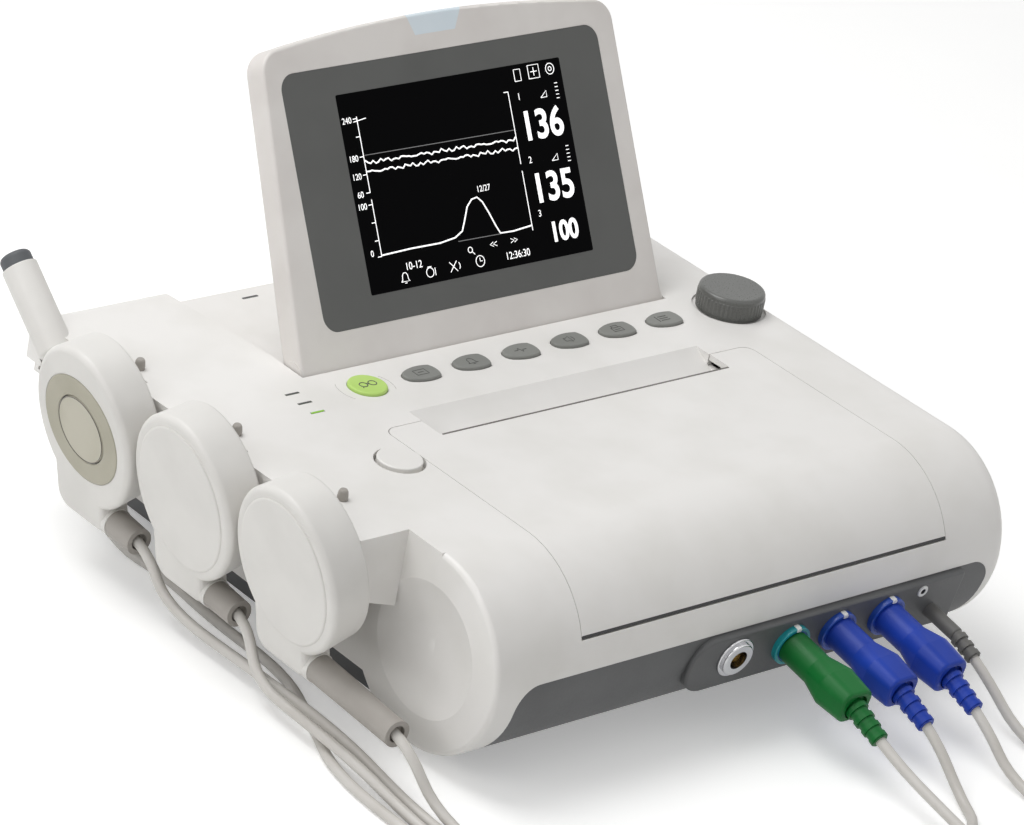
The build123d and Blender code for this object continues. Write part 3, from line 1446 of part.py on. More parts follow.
with BuildPart() as doppler_2_cable:
    add(stretch(doppler_2_lead))
    add(stretch(doppler_2_tail))
save(doppler_2_cable, "doppler_2_cable")
with BuildPart() as doppler_1_cable:
    add(stretch(doppler_1_lead))
    add(stretch(doppler_1_tail))
save(doppler_1_cable, "doppler_1_cable")
with BuildPart() as toco_cable:
    add(stretch(toco_lead))
    add(stretch(toco_tail))
save(toco_cable, "toco_cable")
with BuildPart() as marker_cable:
    add(stretch(marker_lead))
    add(stretch(marker_tail))
save(marker_cable, "marker_cable")
with BuildPart() as doppler_2_coil:
    add(coil_solid(doppler_2_coil_at, 1))
save(doppler_2_coil, "doppler_2_coil")
with BuildPart() as toco_coil:
    add(coil_solid(toco_coil_at, -1))
save(toco_coil, "toco_coil")
with BuildPart() as doppler_1_coil:
    add(coil_solid(doppler_1_coil_at, 1))
save(doppler_1_coil, "doppler_1_coil")
with BuildPart() as marker_coil:
    add(coil_solid(marker_coil_at, -1))
save(marker_coil, "marker_coil")

coil_length = doppler_2_coil.part.volume / (3.14159 * cord_radius**2)
for name, cable in (
    ("doppler 2", doppler_2_cable),
    ("doppler 1", doppler_1_cable),
    ("toco", toco_cable),
    ("marker", marker_cable),
):
    free = cable.part.volume / (3.14159 * cord_radius**2)
    print(name, "cable", round(free), "mm free, with its coil", round(free + coil_length), "mm")
print("coil layers", coil_outer, coil_outer - coil_step * coil_turns_in, "mm radius")
print("width", round(overall_width, 2), "depth", round(overall_depth, 2), "deck", round(deck_z, 2))
print("shift", round(line_x, 3), round(hinge_y, 3), round(deck_z, 3))
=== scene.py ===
# %% [markdown]
# # A fetal monitor, dressed in Blender
# The real object is a low tabletop monitor: a white moulded case with a screen that folds flat, a row
# of rubber keys, a paper door rolled over the front, and a ledge on the left where three transducers
# and an event marker are parked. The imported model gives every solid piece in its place. This script
# adds what a solid model lacks: cables, print, finishes and light.

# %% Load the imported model
import json
from math import cos, pi, radians, sin
import bpy
import bmesh
from mathutils import Matrix, Vector


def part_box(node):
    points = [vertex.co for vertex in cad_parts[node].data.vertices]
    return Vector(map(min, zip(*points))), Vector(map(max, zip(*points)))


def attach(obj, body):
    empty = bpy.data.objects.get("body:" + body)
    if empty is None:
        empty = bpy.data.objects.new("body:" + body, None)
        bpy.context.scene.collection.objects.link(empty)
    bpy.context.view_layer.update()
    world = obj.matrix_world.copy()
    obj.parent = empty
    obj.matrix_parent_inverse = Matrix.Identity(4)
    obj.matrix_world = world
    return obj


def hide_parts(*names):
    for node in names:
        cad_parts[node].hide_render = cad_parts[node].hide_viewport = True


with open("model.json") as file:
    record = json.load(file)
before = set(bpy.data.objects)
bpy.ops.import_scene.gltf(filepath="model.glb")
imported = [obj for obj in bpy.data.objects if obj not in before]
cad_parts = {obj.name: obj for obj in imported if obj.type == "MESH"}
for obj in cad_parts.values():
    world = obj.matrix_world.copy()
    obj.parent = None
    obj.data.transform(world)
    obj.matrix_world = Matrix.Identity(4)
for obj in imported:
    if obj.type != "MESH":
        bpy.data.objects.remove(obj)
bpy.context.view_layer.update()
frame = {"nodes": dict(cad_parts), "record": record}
nodes = frame["nodes"]
print("pieces in the packed model:", len(nodes))

# %% [markdown]
# ## Camera
# A product photograph is usually taken from a few metres away with a long lens, so parallel edges
# stay nearly parallel. A camera can be aimed by angles or by a constraint. Here it is set by its place
# and by three directions, because that is what a fit to the object's straight edges gives.

# %% Camera
MM = 0.001
FILM_WIDTH = 36.0
LENS = 170.3
CAMERA_PLACE = (-1.4222, -1.4075, 1.0694)


def turned(right, up, back, place):
    """A placing matrix from three directions and a point."""
    grid = Matrix((right, up, back)).transposed().to_4x4()
    grid.translation = place
    return grid


camera_data = bpy.data.cameras.new("photo_camera")
camera_data.sensor_width = FILM_WIDTH
camera_data.lens = LENS
camera = bpy.data.objects.new("photo_camera", camera_data)
bpy.context.scene.collection.objects.link(camera)
camera_back = Vector((-0.6405, -0.6294, 0.4399)).normalized()
camera_right = Vector((0.7479, -0.6414, 0.1713))
camera_right = (camera_right - camera_back * camera_right.dot(camera_back)).normalized()
camera_up = camera_back.cross(camera_right)
camera.matrix_world = turned(camera_right, camera_up, camera_back, CAMERA_PLACE)
bpy.context.scene.camera = camera
print("camera distance from the table's middle: %.2f m" % camera.location.length)

# %% [markdown]
# ## Cables
# Each cable is a limp 5 mm lead. It leaves a sleeve, drops to the table, runs forward past the front,
# is wound into a loose coil that the photograph doesn't reach, and comes back to its plug. A simulated
# rope would fall differently on each run. A NURBS curve is steady: a few control points give one smooth
# line, and a bevel gives it its thickness.

# %% Cable sizes
CORD_RADIUS = 2.5
# The height of a cable's middle where it lies on the table.
REST = 2.6
# The coil's widest half turn, what each half turn loses, and the rise from one layer to the next.
COIL_OUTER = 39.15
COIL_STEP = 3.15
COIL_LAYER = 5.6
HALF_TURNS = 6
# Each half turn has six control points, 30 degrees apart.
CORNERS = 6
CORNER = 180 / CORNERS
print("cable thickness: %.1f mm" % (2 * CORD_RADIUS))

# %% Points of a coil
def coil_points(middle, side):
    """Control points of a coil of four layers, wound in, out, in and out."""
    sizes = [(COIL_OUTER - COIL_STEP * i, 0) for i in range(HALF_TURNS + 1)]
    for layer in (1, 2, 3):
        first = sizes[-1][0]
        step = -COIL_STEP if layer % 2 == 0 else COIL_STEP
        sizes += [(first + step * i, layer) for i in range(HALF_TURNS)]
    ends = []
    for i, (size, layer) in enumerate(sizes):
        across = side * size if i % 2 == 0 else -side * size
        ends.append(Vector(middle) + Vector((0, across, layer * COIL_LAYER)))
    points = []
    for i, (here, there) in enumerate(zip(ends, ends[1:])):
        heart = (here + there) / 2
        arm = here - heart
        ahead = Vector((arm.length if i % 2 == 0 else -arm.length, 0, 0))
        for k in range(CORNERS):
            turn = radians((k + 0.5) * CORNER)
            # The points stand at the corners of the polygon whose sides the curve touches.
            points.append(heart + (arm * cos(turn) + ahead * sin(turn)) / cos(radians(CORNER / 2)))
    return points


print("control points in a coil:", len(coil_points((0, 0, 0), 1)))

# %% [markdown]
# ## Cable routes
# A route is a lead from the sleeve, a coil, and a tail to the plug, in millimetres. The leads lie beside
# each other along the left side, as they do when someone parks the transducers and pushes the cables in.

# %% Routes of the four cables
CORDS = {
    "doppler_2": dict(
        lead=[(-158.72, -127.7, 30.91), (-159.63, -143.17, 30.91), (-152.75, -162.39, REST),
              (-151.25, -219.39, REST), (-152.75, -279.39, REST), (-114.31, -279.39, REST)],
        coil=((-109.25, -318.54, REST), 1),
        tail=[(-104.19, -282.54, 19.4), (-86.19, -282.54, 19.4), (-36.25, -282.54, REST),
              (27.75, -282.54, REST), (67.75, -276.39, REST), (79.75, -252.39, REST),
              (80.25, -230.49, 21.82), (80.25, -216.49, 27.19)],
        plug="doppler_plug_2", length=2.576),
    "doppler_1": dict(
        lead=[(-159.1, -17.03, 30.91), (-159.96, -31.81, 30.91), (-164.75, -48.39, 10.5),
              (-165.25, -84.39, 10.0), (-165.25, -122.39, 9.0), (-165.75, -166.39, REST),
              (-164.25, -229.39, REST), (-166.75, -299.39, REST), (-166.75, -372.89, REST),
              (-114.31, -372.89, REST)],
        coil=((-109.25, -412.04, REST), 1),
        tail=[(-104.19, -376.04, 19.4), (-86.19, -376.04, 19.4), (-36.25, -376.04, REST),
              (30.75, -376.04, REST), (87.75, -362.39, REST), (110.75, -304.39, REST),
              (111.75, -254.39, REST), (111.75, -230.58, 22.31), (111.75, -216.58, 27.68)],
        plug="doppler_plug_1", length=2.897),
    "toco": dict(
        lead=[(-161.82, 53.7, 30.91), (-162.68, 38.92, 30.91), (-161.25, 21.61, 9.0),
              (-158.25, -42.39, 9.3), (-156.25, -102.39, 9.0), (-159.25, -154.39, REST),
              (-157.75, -219.39, REST), (-160.25, -289.39, REST), (-160.25, -366.89, REST),
              (-104.25, -366.89, REST), (-60.25, -366.89, REST), (-17.31, -366.89, REST)],
        coil=((-12.25, -327.74, REST), -1),
        tail=[(-7.19, -363.74, 19.4), (10.81, -363.74, 19.4), (47.75, -347.74, REST),
              (50.75, -312.39, 4.6), (50.75, -278.39, 10.0), (50.75, -246.39, 16.5),
              (50.75, -230.41, 21.32), (50.75, -216.4, 26.7)],
        plug="toco_plug", length=2.894),
    "marker": dict(
        lead=[(-164.23, 125.38, 95.59), (-163.76, 113.73, 86.15), (-161.25, 114.61, 50.0),
              (-140.25, 89.61, REST), (-135.25, 55.61, REST), (-139.75, 15.61, REST),
              (-138.75, -39.39, REST), (-154.25, -77.39, REST), (-171.75, -114.39, REST),
              (-172.25, -174.39, REST), (-170.75, -239.39, REST), (-173.25, -304.39, REST),
              (-173.25, -369.39, REST), (-173.25, -460.39, REST), (-114.25, -460.39, REST),
              (-60.25, -460.39, REST), (-17.31, -460.39, REST)],
        coil=((-12.25, -421.24, REST), -1),
        tail=[(-7.19, -457.24, 19.4), (10.81, -457.24, 19.4), (57.75, -454.24, REST),
              (109.75, -422.39, REST), (139.75, -359.39, REST), (143.75, -289.39, REST),
              (143.75, -229.39, REST), (143.75, -197.97, 23.79), (143.75, -183.96, 29.17)],
        plug="marker_plug", length=3.328),
}
print("cable routes:", len(CORDS))

# %% Lay the cables
cords = []
for name, route in CORDS.items():
    points = route["lead"] + [tuple(p) for p in coil_points(*route["coil"])] + route["tail"]
    curve = bpy.data.curves.new(f"{name}_cord", "CURVE")
    curve.dimensions = "3D"
    # The bevel is one metre and each point's radius scales it, so the curve's own box stays true.
    curve.bevel_depth = 1.0
    curve.bevel_resolution = 5
    curve.resolution_u = 6
    curve.use_fill_caps = True
    spline = curve.splines.new("NURBS")
    spline.points.add(len(points) - 1)
    for point, place in zip(spline.points, points):
        point.co = (*[c * MM for c in place], 1.0)
        point.radius = CORD_RADIUS * MM
    spline.order_u = 3
    spline.use_endpoint_u = True
    cord = bpy.data.objects.new(f"{name}_cord", curve)
    bpy.context.scene.collection.objects.link(cord)
    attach(cord, "housing")
    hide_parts(f"{name}_cable", f"{name}_coil")
    cords.append(cord)
    print(f"{name}: {len(points)} control points, {route['length']:.3f} m")

# %% [markdown]
# ## Colours and nodes
# Colours are written as sRGB hex values, the way a paint chip or a screen gives them. A shader works in
# linear light, so one function turns each of them. Another adds any node with its settings and links,
# which keeps each finish short enough to read.

# %% Colour and node helpers
def linear(code):
    """An sRGB hex colour as linear red, green, blue and alpha."""
    parts = [int(code[i : i + 2], 16) / 255 for i in (1, 3, 5)]
    return (*[c / 12.92 if c <= 0.04045 else ((c + 0.055) / 1.055) ** 2.4 for c in parts], 1.0)


def add_node(owner, kind, values=None, links=None, **settings):
    """Add a node to a material or world, with its settings, input values and incoming links."""
    node = owner.node_tree.nodes.new(kind)
    for name, value in settings.items():
        setattr(node, name, value)
    for name, value in (values or {}).items():
        node.inputs[name].default_value = value
    for name, source in (links or {}).items():
        owner.node_tree.links.new(source, node.inputs[name])
    return node


def new_material(name, **values):
    """A material and its Principled shader, with plain values set on the shader's own sockets."""
    material = bpy.data.materials.new(name)
    material.use_nodes = True
    shader = material.node_tree.nodes["Principled BSDF"]
    for key, value in values.items():
        shader.inputs[key.replace("_", " ")].default_value = value
    return material, shader


def per_mm(size):
    """Texture scale for a pattern whose features are this many millimetres."""
    return 1.0 / (size * MM)


print("white in linear light:", linear("#FFFFFF"))

# %% [markdown]
# ## Moulded plastic and rubber
# The case is ABS from a spark-eroded mould: light grain, soft highlight, IOR near 1.54. The keys,
# sleeves and plugs are silicone and thermoplastic rubber, duller and a little uneven. Each could have
# its own node tree, but they differ only in colour, grain and gloss, so one function serves them all.
# The real grain is about 0.1 mm. It is drawn coarser, at 0.6 to 1.6 mm, so that it shows from here.

# %% One function for moulded finishes
# Plastic flows into the mould unevenly, and that leaves pale clouds some centimetres across.
CLOUD = 35.0


def moulded(name, colour, deep, rough, grain, relief, ior=1.54, **extra):
    """Plastic or rubber: grain in the bump, slow clouds in the colour, uneven roughness."""
    material, shader = new_material(name, IOR=ior, **extra)
    place = add_node(material, "ShaderNodeTexCoord")
    clouds = add_node(
        material, "ShaderNodeTexNoise", {"Scale": per_mm(CLOUD), "Detail": 3.0, "Roughness": 0.5},
        {"Vector": place.outputs["Object"]},
    )
    spread = add_node(
        material, "ShaderNodeMapRange", {"From Min": 0.3, "From Max": 0.6},
        {"Value": clouds.outputs["Fac"]},
    )
    tint = add_node(
        material, "ShaderNodeMix", {6: linear(deep), 7: linear(colour)},
        {0: spread.outputs["Result"]}, data_type="RGBA",
    )
    fine = add_node(
        material, "ShaderNodeTexNoise", {"Scale": per_mm(grain), "Detail": 4.0, "Roughness": 0.65},
        {"Vector": place.outputs["Object"]},
    )
    gloss = add_node(
        material, "ShaderNodeMapRange",
        {"From Min": 0.3, "From Max": 0.7, "To Min": rough - 0.05, "To Max": rough + 0.05},
        {"Value": fine.outputs["Fac"]},
    )
    bump = add_node(
        material, "ShaderNodeBump", {"Strength": 0.5, "Distance": relief * MM},
        {"Height": fine.outputs["Fac"]},
    )
    material.node_tree.links.new(tint.outputs[2], shader.inputs["Base Color"])
    material.node_tree.links.new(gloss.outputs["Result"], shader.inputs["Roughness"])
    material.node_tree.links.new(bump.outputs["Normal"], shader.inputs["Normal"])
    return material


print("clouds in moulded plastic: %.0f mm" % CLOUD)

# %% Case plastics
# The white case ABS has a soft, wide highlight and no mirror image.
moulded_case_abs = moulded("moulded_case_abs", "#EDEBE8", "#E7E5E1", 0.42, 0.9, 0.03)
# The screen's shell is a warmer batch of the same ABS.
moulded_screen_abs = moulded("moulded_screen_abs", "#E2DEDA", "#DAD5D1", 0.40, 0.9, 0.03)
# The transducers are wiped with alcohol after each use, so they look a little drier.
moulded_transducer_abs = moulded("moulded_transducer_abs", "#E2E0DC", "#DBD9D5", 0.45, 0.9, 0.03)
# The base tray is dark with a rough grain, which hides scuffs and gives a dull sheen.
moulded_tray_abs = moulded("moulded_tray_abs", "#58595A", "#505152", 0.50, 1.0, 0.06)
# The knob comes from a finer mould, so its top catches the light.
moulded_knob_abs = moulded("moulded_knob_abs", "#5E5F5C", "#555653", 0.30, 0.8, 0.02)
# The socket rings are smooth and strongly coloured, to be told apart at a glance.
moulded_blue_abs = moulded("moulded_blue_abs", "#2150B8", "#1A46A4", 0.32, 0.9, 0.02)
moulded_teal_abs = moulded("moulded_teal_abs", "#149AA2", "#0E8890", 0.32, 0.9, 0.02)
# Painted shade: a grey line, greyer than the case, stands for the shade along the door's rear edge and in
# the groove round the plunger.
shade_line_grey = moulded("shade_line_grey", "#6E6A66", "#625E5A", 0.45, 0.7, 0.02)
# Frames and gears inside are black nylon with a waxy look.
moulded_black_nylon = moulded("moulded_black_nylon", "#202022", "#191A1B", 0.50, 0.8, 0.04, 1.53)
print("case plastics made, materials so far:", len(bpy.data.materials))

# %% Clear plastics and film
# The grey lens round the display is smooth acrylic, so it is the shiniest large face.
moulded_lens_acrylic = moulded("moulded_lens_acrylic", "#525351", "#4D4E4C", 0.34, 1.4, 0.002, 1.49)
# The alarm light is milky acrylic, which looks pale blue when it is off.
moulded_light_acrylic = moulded("moulded_light_acrylic", "#E0EAF0", "#D8E4EC", 0.22, 1.2, 0.01, 1.49)
# The battery pack is wrapped in shrunk film, glossy with faint creases.
shrunk_battery_film = moulded("shrunk_battery_film", "#2F4C6B", "#27405C", 0.35, 1.6, 0.04, 1.50)
print("clear plastics made, materials so far:", len(bpy.data.materials))

# %% Silicone and rubber
# Silicone has a low IOR and a satin skin, so the keys have no sharp highlight.
moulded_key_silicone = moulded("moulded_key_silicone", "#868783", "#7F807C", 0.55, 0.6, 0.03, 1.43)
# The start key has a bright pigment, so that it is found first.
moulded_start_silicone = moulded("moulded_start_silicone", "#BFDE7E", "#B2D56F", 0.50, 0.6, 0.03, 1.43)
# The mat under the keys is the same silicone without pigment, milky and duller.
moulded_mat_silicone = moulded("moulded_mat_silicone", "#D4D6D4", "#CBCDCB", 0.60, 0.8, 0.03, 1.43)
# The rubber on the pressure face is matt, warm and a little darker round its plunger.
moulded_face_rubber = moulded("moulded_face_rubber", "#C4C0B1", "#BAB6A5", 0.60, 0.7, 0.05, 1.50)
moulded_rim_rubber = moulded("moulded_rim_rubber", "#B4B0A0", "#A9A594", 0.60, 0.7, 0.05, 1.50)
# Sleeves, belt buttons and cable ends share a soft grey rubber with a satin skin.
moulded_sleeve_rubber = moulded("moulded_sleeve_rubber", "#A7A29C", "#9B9690", 0.55, 0.7, 0.04, 1.50)
# The event marker's cap is darker, so the thumb sees where to press.
moulded_button_rubber = moulded("moulded_button_rubber", "#54575A", "#4B4E51", 0.55, 0.6, 0.04, 1.50)
# The feet are black and almost without shine.
moulded_foot_rubber = moulded("moulded_foot_rubber", "#2A2A2A", "#222222", 0.75, 0.8, 0.06, 1.50)
print("silicone and rubber made, materials so far:", len(bpy.data.materials))

# %% Cable and plugs
# Extruded PVC is smooth along the cable, with a narrow sheen on its top.
extruded_cord_pvc = moulded("extruded_cord_pvc", "#D2CFCA", "#C8C4BE", 0.45, 0.8, 0.03, 1.52)
# The grips are thermoplastic rubber over the plug's core. It reflects little, so the colours stay deep.
moulded_green_tpe = moulded(
    "moulded_green_tpe", "#0A6A2C", "#075522", 0.42, 0.8, 0.04, 1.50, Specular_IOR_Level=0.25
)
moulded_blue_tpe = moulded(
    "moulded_blue_tpe", "#1E41AC", "#183696", 0.40, 0.8, 0.04, 1.50, Specular_IOR_Level=0.25
)
# The marker's slim plug is greyer and duller than the others.
moulded_grey_tpe = moulded("moulded_grey_tpe", "#6E6D6A", "#5F5E5B", 0.55, 0.8, 0.04, 1.50)
print("cable and plug finishes made, materials so far:", len(bpy.data.materials))

# %% Printed ink
# Pad-printed ink is flat and a little rougher than the plastic under it.
# The same grey also paints the shade in the slot behind the screen.
grey_ink_and_shade = moulded("grey_ink_and_shade", "#4F504E", "#484947", 0.60, 0.8, 0.01)
printed_white_ink = moulded("printed_white_ink", "#F1F1F0", "#E9E9E8", 0.55, 0.8, 0.01)
# The faint grey is painted shade for the creases beside the start key.
faint_crease_shade = moulded("faint_crease_shade", "#B4B1AD", "#ABA8A4", 0.55, 0.8, 0.01)
print("inks made, materials so far:", len(bpy.data.materials))

# %% [markdown]
# ## Metal
# Turned and drawn metal carries fine lines along its making, and they pull a highlight out into a streak.
# An image of brushed metal would do, but noise squeezed across the lines needs no file. The real lines
# are a few hundredths of a millimetre wide and are drawn at 0.6 to 0.9 mm, so that they show.

# %% Metal finishes
def drawn_metal(name, colour, rough, line, stretch):
    """Metal with fine lines along X, from noise squeezed across them."""
    material, shader = new_material(name, Base_Color=linear(colour), Metallic=1.0)
    place = add_node(material, "ShaderNodeTexCoord")
    squeeze = add_node(
        material, "ShaderNodeMapping", {"Scale": (1.0 / stretch, 1.0, 1.0)},
        {"Vector": place.outputs["Object"]},
    )
    lines = add_node(
        material, "ShaderNodeTexNoise", {"Scale": per_mm(line), "Detail": 5.0},
        {"Vector": squeeze.outputs["Vector"]},
    )
    gloss = add_node(
        material, "ShaderNodeMapRange",
        {"From Min": 0.25, "From Max": 0.75, "To Min": rough * 0.7, "To Max": rough * 1.3},
        {"Value": lines.outputs["Fac"]},
    )
    bump = add_node(
        material, "ShaderNodeBump", {"Strength": 0.4, "Distance": 0.01 * MM},
        {"Height": lines.outputs["Fac"]},
    )
    material.node_tree.links.new(gloss.outputs["Result"], shader.inputs["Roughness"])
    material.node_tree.links.new(bump.outputs["Normal"], shader.inputs["Normal"])
    return material


# The jack's nut is turned and chromed, the brightest metal here.
turned_nut_chrome = drawn_metal("turned_nut_chrome", "#C9C9CB", 0.16, 0.8, 3.0)
# Screws, pins and springs are drawn steel, darker and streaked along their length.
drawn_steel = drawn_metal("drawn_steel", "#9C9DA0", 0.32, 0.6, 8.0)
# The power supply's cover is rolled sheet, with long soft lines.
rolled_aluminium = drawn_metal("rolled_aluminium", "#B4B6B8", 0.38, 0.9, 14.0)
# The contact in the jack is plated with gold and stays bright.
plated_gold = drawn_metal("plated_gold", "#D6A851", 0.25, 0.6, 4.0)
print("metals made, materials so far:", len(bpy.data.materials))

# %% [markdown]
# ## Board and paper
# A circuit board is glass cloth under green lacquer, with copper tracks showing as paler lines. A brick
# pattern gives such a grid without drawing each track. Folded paper shows its sheets at the edge, which
# a banded wave gives.

# %% Lacquered board
# The blocks between tracks are some 8 by 3.5 mm on a pattern of 22 mm.
BOARD_PATTERN = 22.0
lacquered_board, shader = new_material("lacquered_board", Roughness=0.28, IOR=1.52)
place = add_node(lacquered_board, "ShaderNodeTexCoord")
tracks = add_node(
    lacquered_board, "ShaderNodeTexBrick",
    {"Color1": linear("#1B5A36"), "Color2": linear("#1F633C"), "Mortar": linear("#3B8A58"),
     "Scale": per_mm(BOARD_PATTERN), "Mortar Size": 0.02, "Brick Width": 0.35, "Row Height": 0.16},
    {"Vector": place.outputs["Object"]},
)
bump = add_node(
    lacquered_board, "ShaderNodeBump", {"Strength": 0.3, "Distance": 0.04 * MM},
    {"Height": tracks.outputs["Fac"]},
)
lacquered_board.node_tree.links.new(tracks.outputs["Color"], shader.inputs["Base Color"])
lacquered_board.node_tree.links.new(bump.outputs["Normal"], shader.inputs["Normal"])
print("board pattern: %.0f mm" % BOARD_PATTERN)

# %% Folded chart paper
# Real sheets are 0.07 mm thick. They are drawn as 0.8 mm layers, so that they show.
SHEET = 0.8
folded_chart_paper, shader = new_material("folded_chart_paper", Roughness=0.8, IOR=1.5)
place = add_node(folded_chart_paper, "ShaderNodeTexCoord")
sheets = add_node(
    folded_chart_paper, "ShaderNodeTexWave", {"Scale": per_mm(SHEET) / (2 * pi), "Distortion": 0.6},
    {"Vector": place.outputs["Object"]}, bands_direction="Z",
)
edge = add_node(
    folded_chart_paper, "ShaderNodeMix", {6: linear("#D9D5C9"), 7: linear("#F1EEE6")},
    {0: sheets.outputs["Fac"]}, data_type="RGBA",
)
folded_chart_paper.node_tree.links.new(edge.outputs[2], shader.inputs["Base Color"])
print("paper layers: %.1f mm" % SHEET)

# %% [markdown]
# ## Lit pieces
# The display's dots and the status lamps give a little light of their own. A lamp object behind each
# would be slow and noisy, so the surface itself glows. Its clear cover adds a faint gloss.

# %% Lit finishes
# Polished plastic is never quite even: its gloss wanders over some 6 mm.
HAZE = 6.0


def lit(name, colour, glow, strength, rough=0.25, sheen=0.5):
    """A glossy piece that also gives a little light, with faint unevenness in its gloss."""
    material, shader = new_material(
        name, Base_Color=linear(colour), Emission_Color=linear(glow), Emission_Strength=strength,
        Specular_IOR_Level=sheen,
    )
    place = add_node(material, "ShaderNodeTexCoord")
    haze = add_node(
        material, "ShaderNodeTexNoise", {"Scale": per_mm(HAZE), "Detail": 3.0},
        {"Vector": place.outputs["Object"]},
    )
    gloss = add_node(
        material, "ShaderNodeMapRange", {"To Min": rough * 0.8, "To Max": rough * 1.2},
        {"Value": haze.outputs["Fac"]},
    )
    material.node_tree.links.new(gloss.outputs["Result"], shader.inputs["Roughness"])
    return material


# An anti-glare coating keeps the black field almost free of reflections.
coated_display_glass = lit("coated_display_glass", "#040405", "#000000", 0.0, 0.3, 0.02)
# The lit dots are cool white, and the guide lines are dots at less than full drive.
bright_display_dots = lit("bright_display_dots", "#E8E8E8", "#F4F4F4", 0.85)
dim_display_dots = lit("dim_display_dots", "#555555", "#7A7A7A", 0.5)
# A status lamp is a green light pipe, bright when it is lit and greyish when it is not.
lit_lamp_acrylic = lit("lit_lamp_acrylic", "#7FB23C", "#8CC63F", 0.25)
dark_lamp_acrylic = lit("dark_lamp_acrylic", "#7A8170", "#000000", 0.0)
print("lit finishes made, materials in all:", len(bpy.data.materials))

# %% [markdown]
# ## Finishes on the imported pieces
# The record names a material slot for each piece. One table says which finish stands for each slot, so
# that a finish is changed in one place.

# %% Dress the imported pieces
FINISH = {
    "case_white": moulded_case_abs, "base_grey": moulded_tray_abs, "screen_white": moulded_screen_abs,
    "lens_grey": moulded_lens_acrylic, "display": coated_display_glass,
    "light_blue": moulded_light_acrylic, "key_green": moulded_start_silicone,
    "key_grey": moulded_key_silicone, "knob_grey": moulded_knob_abs, "light_pipe": dark_lamp_acrylic,
    "probe_white": moulded_transducer_abs, "beige": moulded_face_rubber,
    "sleeve_grey": moulded_sleeve_rubber, "cord_grey": extruded_cord_pvc,
    "button_dark": moulded_button_rubber, "socket_blue": moulded_blue_abs,
    "plug_green": moulded_green_tpe, "plug_blue": moulded_blue_tpe, "plug_grey": moulded_grey_tpe,
    "nut_steel": turned_nut_chrome, "steel": drawn_steel, "foot_rubber": moulded_foot_rubber,
    "board_green": lacquered_board, "silicone": moulded_mat_silicone,
    "black_plastic": moulded_black_nylon, "battery_blue": shrunk_battery_film,
    "psu_metal": rolled_aluminium, "paper": folded_chart_paper,
}
for part in frame["record"]["subparts"]:
    obj = nodes[part["node"]]
    obj.data.materials.clear()
    obj.data.materials.append(FINISH[part["material_slot"]])
for cord in cords:
    cord.data.materials.append(extruded_cord_pvc)

# %% [markdown]
# ## Print and small marks
# On the real thing a mark is a film of ink or a line of light. A picture could carry them all, but it
# would blur close up. Here a mark is a thin stroke or a letter of its own, half sunk in what carries
# it, so it stays crisp from any side. A board of strokes is drawn in its own plane and then placed.

# %% Put a piece down
def set_down(name, data, plane, material, body):
    """Link a new piece, place it, dress it and let it ride."""
    obj = bpy.data.objects.new(name, data)
    bpy.context.scene.collection.objects.link(obj)
    obj.matrix_world = plane
    data.materials.append(material)
    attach(obj, body)
    return obj


# %% Strokes
def strokes(name, lines, width, plane, material, body):
    """One curve object of several polylines, in a plane, in millimetres."""
    curve = bpy.data.curves.new(name, "CURVE")
    curve.dimensions = "3D"
    curve.bevel_depth = width / 2 * MM
    curve.bevel_resolution = 2
    curve.use_fill_caps = True
    for line in lines:
        spline = curve.splines.new("POLY")
        spline.points.add(len(line) - 1)
        for point, (x, y) in zip(spline.points, line):
            point.co = (x * MM, y * MM, 0.0, 1.0)
    return set_down(name, curve, plane, material, body)


def ring(x, y, radius, steps=28, start=0.0, turn=360.0):
    """Points of an arc about a middle."""
    angles = [radians(start + turn * i / steps) for i in range(steps + 1)]
    return [(x + radius * cos(a), y + radius * sin(a)) for a in angles]


print("points in a full ring:", len(ring(0, 0, 1)))

# %% Letters and figures
INK_THICK = 0.04
INK_LIFT = 0.05


def words(name, text, size, middle, plane, material, body, squeeze=1.0, weight=0.0):
    """Raised print in a plane, its middle given in millimetres."""
    curve = bpy.data.curves.new(name, "FONT")
    curve.body = text
    curve.size = size * MM
    curve.align_x = "CENTER"
    curve.align_y = "CENTER"
    curve.extrude = INK_THICK * MM
    curve.offset = weight * MM
    there = Matrix.Translation(Vector((*middle, INK_LIFT)) * MM)
    return set_down(name, curve, plane @ there @ Matrix.Diagonal((squeeze, 1, 1, 1)), material, body)


print("ink thickness: %.2f mm" % INK_THICK)

# %% [markdown]
# ## Plates and turned rings
# Several small parts are a row of outlines joined by quads: a plate from two outlines, a ring or a grip
# from more. Modifiers could round such parts, but a handful of written outlines gives the same rim with
# fewer faces. These helpers make the outlines and join them.

# %% Helpers for small solids
def loop_of(form, points):
    """One loop of mesh points from places in millimetres."""
    return [form.verts.new([c * MM for c in point]) for point in points]


def bridge(form, loops):
    """Quads between each loop and the next."""
    for here, there in zip(loops, loops[1:]):
        for i in range(len(here)):
            j = (i + 1) % len(here)
            form.faces.new((here[i], here[j], there[j], there[i]))


def mesh_of(form, name):
    """The finished mesh, with the working form released."""
    mesh = bpy.data.meshes.new(name)
    form.to_mesh(mesh)
    form.free()
    return mesh


def plate(name, width, height, corner, low, high, plane, material, body):
    """A thin plate with round corners between two heights over a plane."""
    outline = []
    for sx, sy, start in ((1, 1, 0), (-1, 1, 90), (-1, -1, 180), (1, -1, 270)):
        for x, y in ring(0, 0, corner, 6, start, 90):
            outline.append((sx * (width / 2 - corner) + x, sy * (height / 2 - corner) + y))
    form = bmesh.new()
    low_loop = loop_of(form, [(x, y, low) for x, y in outline])
    high_loop = loop_of(form, [(x, y, high) for x, y in outline])
    form.faces.new(high_loop)
    form.faces.new(low_loop[::-1])
    bridge(form, [low_loop, high_loop])
    return set_down(name, mesh_of(form, name), plane, material, body)


